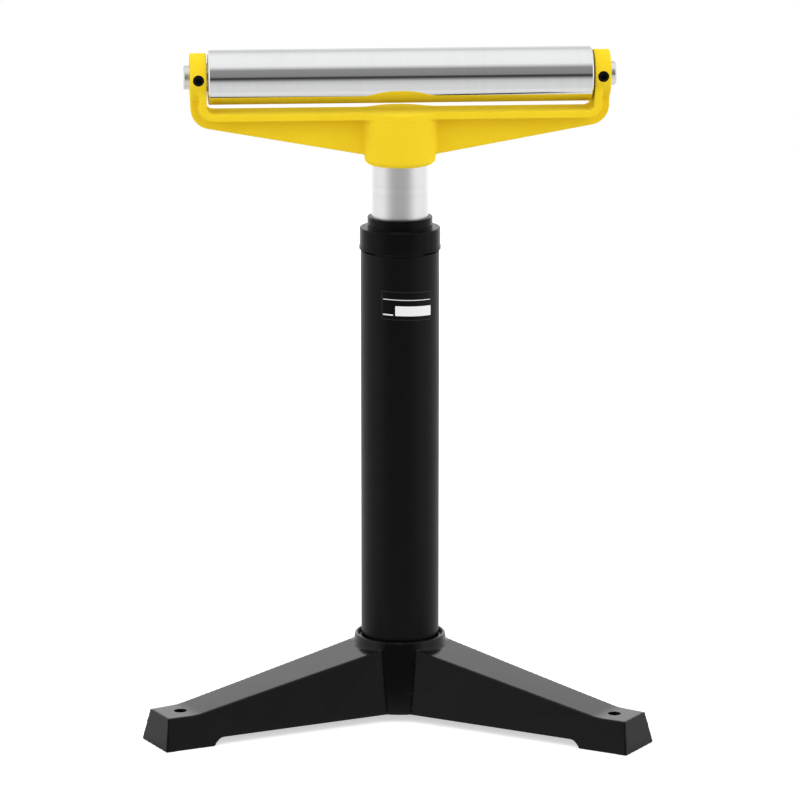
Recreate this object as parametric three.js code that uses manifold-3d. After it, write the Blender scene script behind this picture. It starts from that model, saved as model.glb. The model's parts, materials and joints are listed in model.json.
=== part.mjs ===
// Pedestal roller stand: a cast tripod base, a telescoping column with a clamping
// collar, and a swivelling cast yoke that carries a chromed roller on ball bearings.
// Millimetres, +Z up. The origin lies on the floor, in the middle of the footprint.

import * as THREE from "three";
import { mergeVertices } from "three/addons/utils/BufferGeometryUtils.js";
import Module from "manifold-3d";

const wasm = await Module();
wasm.setup();
const radians = THREE.MathUtils.degToRad;

// Clearances
const FIT = 0.2; // radial gap of a fixed fit
const SEAT = 0.2; // gap between faces that rest on each other
const RUN = 0.3; // gap of a fit that slides or turns
const CUT = 2; // how far a cutter runs past the face it opens

// Facets round a full turn
const ROUND = 32;
const BEARING_ROUND = 24;
const KNOB_ROUND = 18;
const SMALL_ROUND = 12;
const BALL_ROUND = 8;
const HEXAGON = 6;
const ARC_STEPS = 3; // facets of a quarter turn or less

// Roller and axle
const ROLLER_LENGTH = 355.6;
const ROLLER_DIAMETER = 50.8;
const ROLLER_BORE = 42;
const ROLLER_EDGE = 1.2;
const AXLE_DIAMETER = 22;
const AXLE_STICKOUT = 6;
const AXLE_CHAMFER = 1.2;
const AXLE_FLAT_DEPTH = 0.8;
const SPACER_WALL = 1.8;

// Deep-groove ball bearings, one in each end of the roller
const BEARING_DIAMETER = 44;
const BEARING_WIDTH = 12;
const BEARING_INSET = 5;
const BALL_DIAMETER = 6.35;
const BALL_COUNT = 9;
const BALL_GAP = 0.25;
const RACE_LAND = 2.9; // ring thickness beside the ball groove
const CAGE_THICKNESS = 1.8;
const CAGE_BRIDGE = 1.1; // metal left beside each ball pocket
const SHIELD_THICKNESS = 0.6;
const SHIELD_INSET = 0.4;
const CIRCLIP_THICKNESS = 1.7;
const CIRCLIP_GROOVE = 1;
const CIRCLIP_WIDTH = 3.4;
const CIRCLIP_OPENING = 9;

// Yoke casting
const EAR_GAP = 1.5;
const EAR_THICKNESS = 15.2;
const EAR_RADIUS = 22.4;
const EAR_EDGE = 1.5;
const ROLLER_CLEARANCE = 6.5; // between roller and flange
const FLANGE_THICKNESS = 6.8;
const FLANGE_DEPTH = 40;
const FLANGE_FILLET = 6;
const FLANGE_BLEND = 24; // radius where the flange widens into the hub
const WEB_THICKNESS = 16;
const WEB_INSET = 0.3; // web edge inside the outer face of the ear
const WEB_DEPTH_AT_HUB = 41.2; // below the flange top
const WEB_DEPTH_AT_EAR = 12.4;
const WEB_CORNER = 19;
const WEB_FILLET = 4;
const YOKE_HUB_TOP = 70;
const YOKE_HUB_BOTTOM = 65.6;
const YOKE_HUB_HEIGHT = 50.8;
const YOKE_HUB_EDGE = 5.5;
const SOCKET_ROOF = 8;
const HEAD_TURN = 5.5; // degrees that the head is swivelled round the column

// Telescoping post
const POST_DIAMETER = 53;
const POST_WALL = 3;
const POST_SHOWN = 49.3; // bare post between the collar and the yoke
const POST_FLOOR_GAP = 6; // left above the base bolt when the post is fully lowered
const BUSH_HEIGHT = 30;
const RETAINER_HEIGHT = 2.4;
const RETAINER_WIDTH = 4;
const RETAINER_GROOVE = 1;
const PLUG_FLANGE_DIAMETER = 60;
const PLUG_FLANGE_HEIGHT = 6;
const PLUG_LENGTH = 26;
const PIN_DIAMETER = 6;

// Column and clamping collar
const COLUMN_DIAMETER = 73.4;
const COLUMN_WALL = 3;
const COLUMN_LENGTH = 373;
const COLLAR_DIAMETER = 75.4;
const COLLAR_BEAD = 0.7;
const COLLAR_BEAD_HEIGHT = 3;
const COLLAR_HEIGHT = 20.6;
const COLLAR_EDGE = 1;
const COLLAR_RELIEF = 1.2;
const COLLAR_SEAT_WIDTH = 44;
const COLLAR_SPIGOT = 45;
const NECK_DIAMETER = 60.8;
const NECK_HEIGHT = 10.3;
const NECK_EDGE = 0.8;

// Clamping lever at the back of the collar
const LOCK_SCREW_DIAMETER = 12;
const LOCK_PAD_LENGTH = 4;
const LEVER_STANDOFF = 3.6;
const LEVER_BOSS_DIAMETER = 23;
const LEVER_BOSS_LENGTH = 19;
const LEVER_BOSS_EDGE = 1.5;
const LEVER_ARM_LENGTH = 68;
const LEVER_ARM_ROOT = 12;
const LEVER_ARM_TIP = 9;
const LEVER_TILT = 10; // degrees that the arm leans away from the column
const KNOB_DIAMETER = 26;
const KNOB_FLAT = 5; // radius of the flat where the arm enters
const KNOB_BORE_DEPTH = 15;

// Tripod base casting
const LEG_COUNT = 3;
const SOLE_REACH = 260; // column axis to the tip of the sole
const SOLE_LENGTH = 49;
const SOLE_STEP = 11; // run of the curved step behind the sole
const SOLE_STEP_FOOT = 4; // run of its steep lower end
const UNDERSIDE = 7;
const FOOT_WIDTH = 52.6;
const FOOT_HEIGHT = 29.9;
const FOOT_END_DRAFT = 5.5;
const FOOT_FLAT = 29.3;
const FOOT_EDGE = 3;
const LEG_SLOPE = 11.2; // degrees
const LEG_BLEND = 60; // radius where the slope meets the foot flat
const LEG_TAPER = 0.046; // half-width gained per millimetre towards the column
const FOOT_DRAFT = 0.239; // half-width lost per millimetre of height at the foot
const HUB_DRAFT = 0.11; // half-width lost per millimetre of height at the column
const LEG_STATIONS = 3; // stretches along a leg that its ruled sides are divided into
const LEG_WALL = 7;
const LEG_ROOF = 7.5;
const BOLT_HOLE = 12;
const BOLT_SETBACK = 27.3; // bolt hole to the tip of the sole
const CORNER_DISTANCE = 68.5; // column axis to the axis of the round corner between two legs
const CUP_DIAMETER = 85.6;
const CUP_TOP = 75.2;
const CUP_LIP = 8.7; // height of the outside of the cup
const CUP_WALL = 2.3;
const CUP_EDGE = 0.8;
const CUP_FILLET = 4;
const CUP_FLOOR = 71;
const CUP_DISH = 1.2; // rise of the underside of the cup towards its edge
const COLUMN_PLAY = 2; // gap all round the column on the floor of the cup
const HUB_WALL = 9;
const HUB_ROOF = 12;
const WASHER_ROOM = 2; // gap round the washer in the hollow of the hub

// Bolt that draws the column's foot plate down into the cup
const FOOT_PLATE_HEIGHT = 12;
const BOLT_DIAMETER = 16;
const BOLT_HEAD_HEIGHT = 10;
const BOLT_HEAD_CORNERS = 27.7;
const BOLT_END = 2.5; // bolt standing above the foot plate
const WASHER_DIAMETER = 34;
const WASHER_THICKNESS = 3;

// Grub screws: thread diameter, length, hexagon across its corners
const GRUB_TIP = 0.6; // width of the flat tip, as a share of the thread
const AXLE_SCREW = { diameter: 10, hexagon: 5.8, depth: 5 };
const YOKE_SCREW = { diameter: 8, length: 9, hexagon: 4.6, depth: 4, rise: 14, angle: 30 };

// Radii and heights that follow from the sizes above
const rollerRadius = ROLLER_DIAMETER / 2;
const axleRadius = AXLE_DIAMETER / 2;
const postRadius = POST_DIAMETER / 2;
const columnRadius = COLUMN_DIAMETER / 2;
const columnBore = columnRadius - COLUMN_WALL;
const collarRadius = COLLAR_DIAMETER / 2;
const cupRadius = CUP_DIAMETER / 2;
const earInside = ROLLER_LENGTH / 2 + EAR_GAP;
const earOutside = earInside + EAR_THICKNESS;
const earMiddle = earInside + EAR_THICKNESS / 2;
const columnFoot = CUP_FLOOR + SEAT;
const columnTop = columnFoot + COLUMN_LENGTH;
const collarSeat = columnTop + SEAT;
const collarFlangeTop = collarSeat + COLLAR_RELIEF + COLLAR_HEIGHT;
const collarTop = collarFlangeTop + NECK_HEIGHT;
const lockHeight = collarFlangeTop - COLLAR_HEIGHT / 2;
const yokeFoot = collarTop + POST_SHOWN;
const flangeTop = yokeFoot + YOKE_HUB_HEIGHT;
const axleHeight = flangeTop + ROLLER_CLEARANCE + rollerRadius;
const postTop = flangeTop - SOCKET_ROOF - SEAT;
const footPlateTop = columnFoot + FOOT_PLATE_HEIGHT;
const boltTop = footPlateTop + BOLT_END;
const plugFoot = boltTop + POST_SHOWN + POST_FLOOR_GAP;
const postFoot = plugFoot + PLUG_FLANGE_HEIGHT + SEAT;
const bushTop = postFoot + BUSH_HEIGHT;

// Finishes
const finish = (color, roughness, metalness) =>
  new THREE.MeshStandardMaterial({ color, roughness, metalness });
const BLACK_PAINT = finish(0x1d1d1e, 0.45, 0);
const YELLOW_ENAMEL = finish(0xe9c626, 0.3, 0);
const SATIN_STEEL = finish(0xc8cacc, 0.35, 1);
const CHROME = finish(0xdcdee0, 0.08, 1);
const BRIGHT_STEEL = finish(0xb4b7ba, 0.3, 1);
const BLACK_OXIDE = finish(0x18181a, 0.4, 1);
const BRASS = finish(0xb08d45, 0.35, 1);
const NYLON = finish(0xe4e1d6, 0.6, 0);
const BLACK_PLASTIC = finish(0x151516, 0.3, 0);

/** A closed geometry as a solid that can be joined and cut. */
function solid(geometry) {
  const bare = new THREE.BufferGeometry();
  bare.setAttribute("position", geometry.getAttribute("position"));
  bare.setIndex(geometry.index);
  const merged = mergeVertices(bare);
  const vertProperties = new Float32Array(merged.getAttribute("position").array);
  const triVerts = new Uint32Array(merged.index.array);
  return new wasm.Manifold(new wasm.Mesh({ numProp: 3, vertProperties, triVerts }));
}

/** A solid as a named mesh of the scene graph. */
function piece(name, body, material) {
  const { vertProperties, triVerts } = body.getMesh();
  const geometry = new THREE.BufferGeometry();
  geometry.setAttribute("position", new THREE.BufferAttribute(vertProperties, 3));
  geometry.setIndex(new THREE.BufferAttribute(triVerts, 1));
  geometry.computeVertexNormals();
  const mesh = new THREE.Mesh(geometry, material);
  mesh.name = name;
  return mesh;
}

/** Revolves a profile of [radius, height] points round Z, anticlockwise, closing it off the axis. */
function turned(profile, segments = ROUND) {
  const points = profile.map(([radius, height]) => new THREE.Vector2(radius, height));
  if (points[0].x > 0) points.push(points[0].clone());
  return new THREE.LatheGeometry(points, segments).rotateX(Math.PI / 2);
}

const toX = (geometry) => geometry.rotateY(Math.PI / 2);
const toY = (geometry) => geometry.rotateX(-Math.PI / 2);

/** A plain round bar along Z from one height to another. */
function bar(radius, from, to, segments = ROUND) {
  return turned([[0, from], [radius, from], [radius, to], [0, to]], segments);
}

/** A plain ring along Z from one height to another. */
function ring(inside, outside, from, to, segments = ROUND) {
  return turned([[inside, from], [outside, from], [outside, to], [inside, to]], segments);
}

/** The points of an arc in a profile, round a [radius, height] middle, between two angles in degrees. */
function arcPoints(radius, height, size, from, to, steps = ARC_STEPS) {
  const points = [];
  for (let i = 0; i <= steps; i += 1) {
    const angle = radians(from + ((to - from) * i) / steps);
    points.push([radius + size * Math.cos(angle), height + size * Math.sin(angle)]);
  }
  return points;
}

/** An outline through [x, y, radius] corners, each rounded by an arc of its own radius. */
function outline(corners) {
  const shape = new THREE.Shape();
  corners.forEach(([x, y, radius = 0], i) => {
    const corner = new THREE.Vector2(x, y);
    const before = new THREE.Vector2(...corners.at(i - 1)).sub(corner).normalize();
    const after = new THREE.Vector2(...corners[(i + 1) % corners.length]).sub(corner).normalize();
    if (radius === 0) {
      if (i === 0) shape.moveTo(x, y);
      else shape.lineTo(x, y);
      return;
    }
    const half = Math.acos(before.dot(after)) / 2;
    const start = before.clone().multiplyScalar(radius / Math.tan(half)).add(corner);
    const end = after.clone().multiplyScalar(radius / Math.tan(half)).add(corner);
    const middle = before.clone().add(after).setLength(radius / Math.sin(half)).add(corner);
    const from = Math.atan2(start.y - middle.y, start.x - middle.x);
    const to = Math.atan2(end.y - middle.y, end.x - middle.x);
    if (i === 0) shape.moveTo(start.x, start.y);
    shape.absarc(middle.x, middle.y, radius, from, to, before.cross(after) > 0);
  });
  shape.closePath();
  return shape;
}

/** Extrudes a shape along +Z. */
function extruded(shape, depth) {
  return new THREE.ExtrudeGeometry(shape, { depth, bevelEnabled: false, curveSegments: ARC_STEPS });
}

/** Extrudes an outline drawn in X and Z along Y, centred on the XZ plane. */
function slab(shape, depth) {
  return extruded(shape, depth).rotateX(Math.PI / 2).translate(0, depth / 2, 0);
}

/** A grub screw along Z: its tip at zero, its hexagon socket in the far end. */
function grubScrew(diameter, length, hexagon, depth) {
  const radius = diameter / 2;
  const tip = radius * GRUB_TIP;
  const profile = [[0, 0], [tip, 0], [radius, radius - tip], [radius, length], [0, length]];
  const socket = bar(hexagon / 2, length - depth, length + CUT, HEXAGON);
  return solid(turned(profile, SMALL_ROUND)).subtract(solid(socket));
}

/** Half the width of a leg at a given reach from the column and height above the floor. */
function legHalfWidth(reach, height) {
  const draft = THREE.MathUtils.lerp(HUB_DRAFT, FOOT_DRAFT, reach / SOLE_REACH);
  return FOOT_WIDTH / 2 + LEG_TAPER * (SOLE_REACH - reach) - draft * height;
}

/** A side view in reach and height, given width on both sides by a function of the two. */
function drafted(shape, halfWidth) {
  const geometry = extruded(shape, 2).translate(0, 0, -1);
  const position = geometry.getAttribute("position");
  for (let i = 0; i < position.count; i += 1) {
    const reach = position.getX(i);
    const height = position.getY(i);
    const side = -position.getZ(i);
    position.setXYZ(i, reach, side * halfWidth(reach, height), height);
  }
  return geometry;
}

// Reach of the places along a leg
const footEnd = SOLE_REACH - FOOT_END_DRAFT;
const footFlatStart = footEnd - FOOT_FLAT;
const soleStart = SOLE_REACH - SOLE_LENGTH;
const stepStart = soleStart - SOLE_STEP;
const boltReach = SOLE_REACH - BOLT_SETBACK;
const legRoot = columnRadius / 2;
const legTopAt = (reach) => FOOT_HEIGHT + Math.tan(radians(LEG_SLOPE)) * (footFlatStart - reach);

/** One leg of the tripod along +X, with its foot and its curved step behind the sole. */
function leg() {
  const shape = new THREE.Shape();
  const blend = LEG_BLEND * Math.tan(radians(LEG_SLOPE) / 2);
  const slopeStart = footFlatStart - blend;
  const stations = Array.from({ length: LEG_STATIONS }, (_, i) => (i + 1) / LEG_STATIONS);
  shape.moveTo(legRoot, UNDERSIDE);
  for (const share of stations) shape.lineTo(THREE.MathUtils.lerp(legRoot, stepStart, share), UNDERSIDE);
  shape.quadraticCurveTo(soleStart - SOLE_STEP_FOOT, UNDERSIDE, soleStart, 0);
  shape.lineTo(SOLE_REACH, 0);
  shape.lineTo(footEnd + FOOT_EDGE * (FOOT_END_DRAFT / FOOT_HEIGHT), FOOT_HEIGHT - FOOT_EDGE);
  shape.quadraticCurveTo(footEnd, FOOT_HEIGHT, footEnd - FOOT_EDGE, FOOT_HEIGHT);
  shape.lineTo(footFlatStart + blend, FOOT_HEIGHT);
  shape.quadraticCurveTo(footFlatStart, FOOT_HEIGHT, slopeStart, legTopAt(slopeStart));
  for (const share of stations) {
    const reach = THREE.MathUtils.lerp(slopeStart, legRoot, share);
    shape.lineTo(reach, legTopAt(reach));
  }
  shape.closePath();
  return solid(drafted(shape, legHalfWidth));
}

/** The open hollow under a leg, which leaves a channel with a roof and two walls. */
function legHollow() {
  const from = coreRadius(UNDERSIDE) + LEG_WALL;
  const to = stepStart - LEG_WALL;
  const shape = outline([
    [from, UNDERSIDE - CUT],
    [to, UNDERSIDE - CUT],
    [to, legTopAt(to) - LEG_ROOF, FOOT_EDGE],
    [from, legTopAt(from) - LEG_ROOF, FOOT_EDGE],
  ]);
  return solid(drafted(shape, (reach, height) => legHalfWidth(reach, height) - LEG_WALL));
}

/** Radius of the round corner between two legs, tangent to their drafted sides. */
function cornerRadius(height) {
  const half = Math.PI / LEG_COUNT;
  return CORNER_DISTANCE * Math.sin(half) - legHalfWidth(CORNER_DISTANCE * Math.cos(half), height);
}

/** Distance from the column axis to where the round corner leaves the side of a leg. */
function coreRadius(height) {
  const half = Math.PI / LEG_COUNT;
  const radius = cornerRadius(height);
  return Math.hypot(radius * Math.cos(half), CORNER_DISTANCE - radius * Math.sin(half));
}

const cupFoot = CUP_TOP - CUP_LIP;
const hubRoofFoot = CUP_FLOOR - HUB_ROOF;
const boltBore = BOLT_DIAMETER / 2 + FIT;

/** The core between the legs, with the round corners taken out of it. */
function baseCore() {
  const heights = [UNDERSIDE, (UNDERSIDE + cupFoot) / 2, cupFoot];
  let core = solid(turned([
    [0, UNDERSIDE],
    ...heights.map((height) => [coreRadius(height), height]),
    [0, cupFoot],
  ]));
  const corner = solid(turned([
    [0, UNDERSIDE - CUT],
    [cornerRadius(UNDERSIDE - CUT), UNDERSIDE - CUT],
    [cornerRadius(cupFoot + CUT), cupFoot + CUT],
    [0, cupFoot + CUT],
  ], BEARING_ROUND)).translate(CORNER_DISTANCE, 0, 0);
  for (let i = 0; i < LEG_COUNT; i += 1) {
    core = core.subtract(corner.rotate(0, 0, 90 + (360 / LEG_COUNT) * (i + 0.5)));
  }
  return core;
}

/** The shallow cup that the column stands in. */
function baseCup() {
  const foot = cupFoot - CUP_DISH;
  return solid(turned([
    [0, foot],
    [CORNER_DISTANCE - cornerRadius(foot), foot],
    [cupRadius, cupFoot],
    [cupRadius, CUP_TOP - CUP_EDGE],
    [cupRadius - CUP_EDGE, CUP_TOP],
    [cupRadius - CUP_WALL, CUP_TOP],
    [columnRadius + COLUMN_PLAY, CUP_FLOOR],
    [0, CUP_FLOOR],
  ]));
}

/** The fillet that blends the cup into the top of a leg along +X. */
function cupFillet() {
  const reach = cupRadius + CUP_FILLET;
  const top = legTopAt(reach) + CUP_FILLET;
  const profile = [
    [0, hubRoofFoot],
    [reach, hubRoofFoot],
    ...arcPoints(reach, top, CUP_FILLET, 270, 180),
    [0, top],
  ];
  const overLeg = outline([
    [legRoot, hubRoofFoot],
    [reach + CUP_FILLET, hubRoofFoot],
    [reach + CUP_FILLET, CUP_TOP],
    [legRoot, CUP_TOP],
  ]);
  return solid(turned(profile)).intersect(solid(drafted(overLeg, legHalfWidth)));
}

/** The tripod: core, cup and three hollow legs, with the holes for its bolts. */
function baseCasting() {
  const foot = leg().add(cupFillet());
  const boltHole = solid(bar(BOLT_HOLE / 2, -CUT, FOOT_HEIGHT + CUT, SMALL_ROUND)).translate(boltReach, 0, 0);
  const hollow = legHollow().add(boltHole);
  let body = baseCore();
  for (let i = 0; i < LEG_COUNT; i += 1) {
    const heading = 90 + (360 / LEG_COUNT) * i;
    body = body.add(foot.rotate(0, 0, heading)).subtract(hollow.rotate(0, 0, heading));
  }
  const recessTop = Math.max(CUP_TOP, legTopAt(legRoot)) + CUT;
  const recess = solid(bar(columnRadius + COLUMN_PLAY, CUP_FLOOR, recessTop));
  const hubHollow = solid(turned([
    [0, UNDERSIDE - CUT],
    [coreRadius(UNDERSIDE) - HUB_WALL, UNDERSIDE - CUT],
    [WASHER_DIAMETER / 2 + WASHER_ROOM, hubRoofFoot],
    [0, hubRoofFoot],
  ]));
  const bolt = solid(bar(boltBore, hubRoofFoot - CUT, CUP_FLOOR + CUT, SMALL_ROUND));
  return body.subtract(recess).add(baseCup()).subtract(hubHollow).subtract(bolt);
}

/** The threaded plate that closes the foot of the column. */
function footPlate() {
  const plate = solid(bar(columnBore - FIT, columnFoot, footPlateTop));
  return plate.subtract(solid(bar(boltBore, columnFoot - CUT, footPlateTop + CUT, SMALL_ROUND)));
}

const washerFoot = hubRoofFoot - SEAT - WASHER_THICKNESS;

/** The hexagon bolt that holds the column down from under the base. */
function baseBolt() {
  const headTop = washerFoot - SEAT;
  const head = bar(BOLT_HEAD_CORNERS / 2, headTop - BOLT_HEAD_HEIGHT, headTop, HEXAGON);
  const shank = bar(BOLT_DIAMETER / 2, headTop - BOLT_HEAD_HEIGHT / 2, boltTop, SMALL_ROUND);
  return solid(head).add(solid(shank));
}

/** The clamping collar: spigot, flange with a bead and two reliefs, neck and screw hole. */
function columnCollar() {
  const bore = postRadius + RUN;
  const flangeFoot = collarSeat + COLLAR_RELIEF;
  const beadRadius = collarRadius + COLLAR_BEAD;
  const neckRadius = NECK_DIAMETER / 2;
  const body = solid(turned([
    [bore, collarSeat - COLLAR_SPIGOT],
    [columnBore - FIT, collarSeat - COLLAR_SPIGOT],
    [columnBore - FIT, collarSeat],
    [collarRadius, collarSeat],
    [beadRadius, flangeFoot],
    [beadRadius, flangeFoot + COLLAR_BEAD_HEIGHT - COLLAR_BEAD],
    [collarRadius, flangeFoot + COLLAR_BEAD_HEIGHT],
    [collarRadius, collarFlangeTop - COLLAR_EDGE],
    [collarRadius - COLLAR_EDGE, collarFlangeTop],
    [neckRadius, collarFlangeTop],
    [neckRadius, collarTop - NECK_EDGE],
    [neckRadius - NECK_EDGE, collarTop],
    [bore, collarTop],
  ]));
  const seat = new THREE.BoxGeometry(COLLAR_SEAT_WIDTH, 2 * (beadRadius + CUT), COLLAR_SPIGOT);
  const relief = solid(ring(columnBore - FIT, beadRadius + CUT, collarSeat - CUT, flangeFoot))
    .subtract(solid(seat.translate(0, 0, collarSeat)));
  const screwHole = toY(bar(LOCK_SCREW_DIAMETER / 2 + RUN, 0, beadRadius + CUT, SMALL_ROUND));
  return body.subtract(relief).subtract(solid(screwHole.translate(0, 0, lockHeight)));
}

/** The sliding post, with the groove of its retainer and the cross hole of its plug. */
function innerPost() {
  const inside = postRadius - POST_WALL;
  const grooveFoot = bushTop + SEAT;
  const grooveTop = grooveFoot + RETAINER_HEIGHT + 2 * FIT;
  const body = solid(turned([
    [inside, postFoot],
    [postRadius, postFoot],
    [postRadius, grooveFoot],
    [postRadius - RETAINER_GROOVE, grooveFoot],
    [postRadius - RETAINER_GROOVE, grooveTop],
    [postRadius, grooveTop],
    [postRadius, postTop],
    [inside, postTop],
  ]));
  return body.subtract(plugPinHole());
}

const plugPinHeight = postFoot + PLUG_LENGTH / 2;

function plugPinHole() {
  const hole = toX(bar(PIN_DIAMETER / 2 + FIT, -columnRadius, columnRadius, SMALL_ROUND));
  return solid(hole.translate(0, 0, plugPinHeight));
}

/** The plug that closes the post, with the flange that carries the guide bush. */
function postPlug() {
  const spigot = postRadius - POST_WALL - FIT;
  const body = solid(turned([
    [0, plugFoot],
    [PLUG_FLANGE_DIAMETER / 2, plugFoot],
    [PLUG_FLANGE_DIAMETER / 2, plugFoot + PLUG_FLANGE_HEIGHT],
    [spigot, plugFoot + PLUG_FLANGE_HEIGHT],
    [spigot, postFoot + PLUG_LENGTH],
    [0, postFoot + PLUG_LENGTH],
  ]));
  return body.subtract(plugPinHole());
}

/** The open ring that snaps into the post above the guide bush. */
function bushRetainer() {
  const foot = bushTop + SEAT + FIT;
  const inside = postRadius - RETAINER_GROOVE + FIT;
  const body = solid(ring(inside, inside + RETAINER_WIDTH, foot, foot + RETAINER_HEIGHT));
  const gap = new THREE.BoxGeometry(CIRCLIP_OPENING, columnRadius, RETAINER_HEIGHT + CUT);
  return body.subtract(solid(gap.translate(0, columnRadius / 2, foot + RETAINER_HEIGHT / 2)));
}

// Places on the clamping lever, measured outwards from the column axis
const padStart = postRadius + RUN;
const lockScrewStart = padStart + LOCK_PAD_LENGTH + SEAT;
const bossStart = collarRadius + COLLAR_BEAD + LEVER_STANDOFF;
const bossEnd = bossStart + LEVER_BOSS_LENGTH;

/** The lever's boss and its tapered round arm, hanging down and leaning outwards. */
function lockLever() {
  const radius = LEVER_BOSS_DIAMETER / 2;
  const boss = toY(turned([
    [0, bossStart],
    [radius - LEVER_BOSS_EDGE, bossStart],
    [radius, bossStart + LEVER_BOSS_EDGE],
    [radius, bossEnd - LEVER_BOSS_EDGE],
    [radius - LEVER_BOSS_EDGE, bossEnd],
    [0, bossEnd],
  ], BEARING_ROUND));
  const arm = turned([
    [0, 0],
    [LEVER_ARM_ROOT / 2, 0],
    [LEVER_ARM_TIP / 2, radius + LEVER_ARM_LENGTH],
    [0, radius + LEVER_ARM_LENGTH],
  ], SMALL_ROUND);
  const hole = toY(bar(LOCK_SCREW_DIAMETER / 2 + FIT, 0, bossEnd + CUT, SMALL_ROUND));
  return solid(boss)
    .add(solid(placeOnArm(arm)))
    .subtract(solid(hole))
    .translate(0, 0, lockHeight);
}

/** Turns a geometry that stands on Z into the lever arm's own direction. */
function placeOnArm(geometry) {
  return geometry.rotateX(Math.PI + radians(LEVER_TILT)).translate(0, (bossStart + bossEnd) / 2, 0);
}

/** The ball knob on the end of the arm, with a flat round its blind bore. */
function leverKnob() {
  const radius = KNOB_DIAMETER / 2;
  const flat = Math.sqrt(radius ** 2 - KNOB_FLAT ** 2);
  const tip = LEVER_BOSS_DIAMETER / 2 + LEVER_ARM_LENGTH;
  const middle = tip - KNOB_BORE_DEPTH + flat;
  const opening = THREE.MathUtils.radToDeg(Math.asin(KNOB_FLAT / radius));
  const profile = [[0, -flat], ...arcPoints(0, 0, radius, opening - 90, 90, 2 * ARC_STEPS)];
  const ball = solid(placeOnArm(turned(profile, KNOB_ROUND).translate(0, 0, middle)));
  const bore = bar(LEVER_ARM_ROOT / 2, tip - KNOB_BORE_DEPTH - CUT, tip + SEAT, SMALL_ROUND);
  return ball.subtract(solid(placeOnArm(bore))).translate(0, 0, lockHeight);
}

/** A plan of a bar along X with a round hub in its middle, blended by fillets. */
function hubPlan(reach, half, radius, fillet) {
  const across = half + fillet;
  const along = Math.sqrt((radius + fillet) ** 2 - across ** 2);
  const lean = Math.atan2(across, along);
  const shape = new THREE.Shape();
  shape.moveTo(reach, -half);
  shape.lineTo(reach, half);
  shape.absarc(along, across, fillet, -Math.PI / 2, Math.PI + lean, true);
  shape.absarc(0, 0, radius, lean, Math.PI - lean, false);
  shape.absarc(-along, across, fillet, -lean, -Math.PI / 2, true);
  shape.lineTo(-reach, half);
  shape.lineTo(-reach, -half);
  shape.absarc(-along, -across, fillet, Math.PI / 2, lean, true);
  shape.absarc(0, 0, radius, Math.PI + lean, -lean, false);
  shape.absarc(along, -across, fillet, Math.PI - lean, Math.PI / 2, true);
  shape.closePath();
  return shape;
}

const yokeScrewReach = postRadius + FIT;
const yokeScrewHeight = yokeFoot + YOKE_SCREW.rise;

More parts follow.
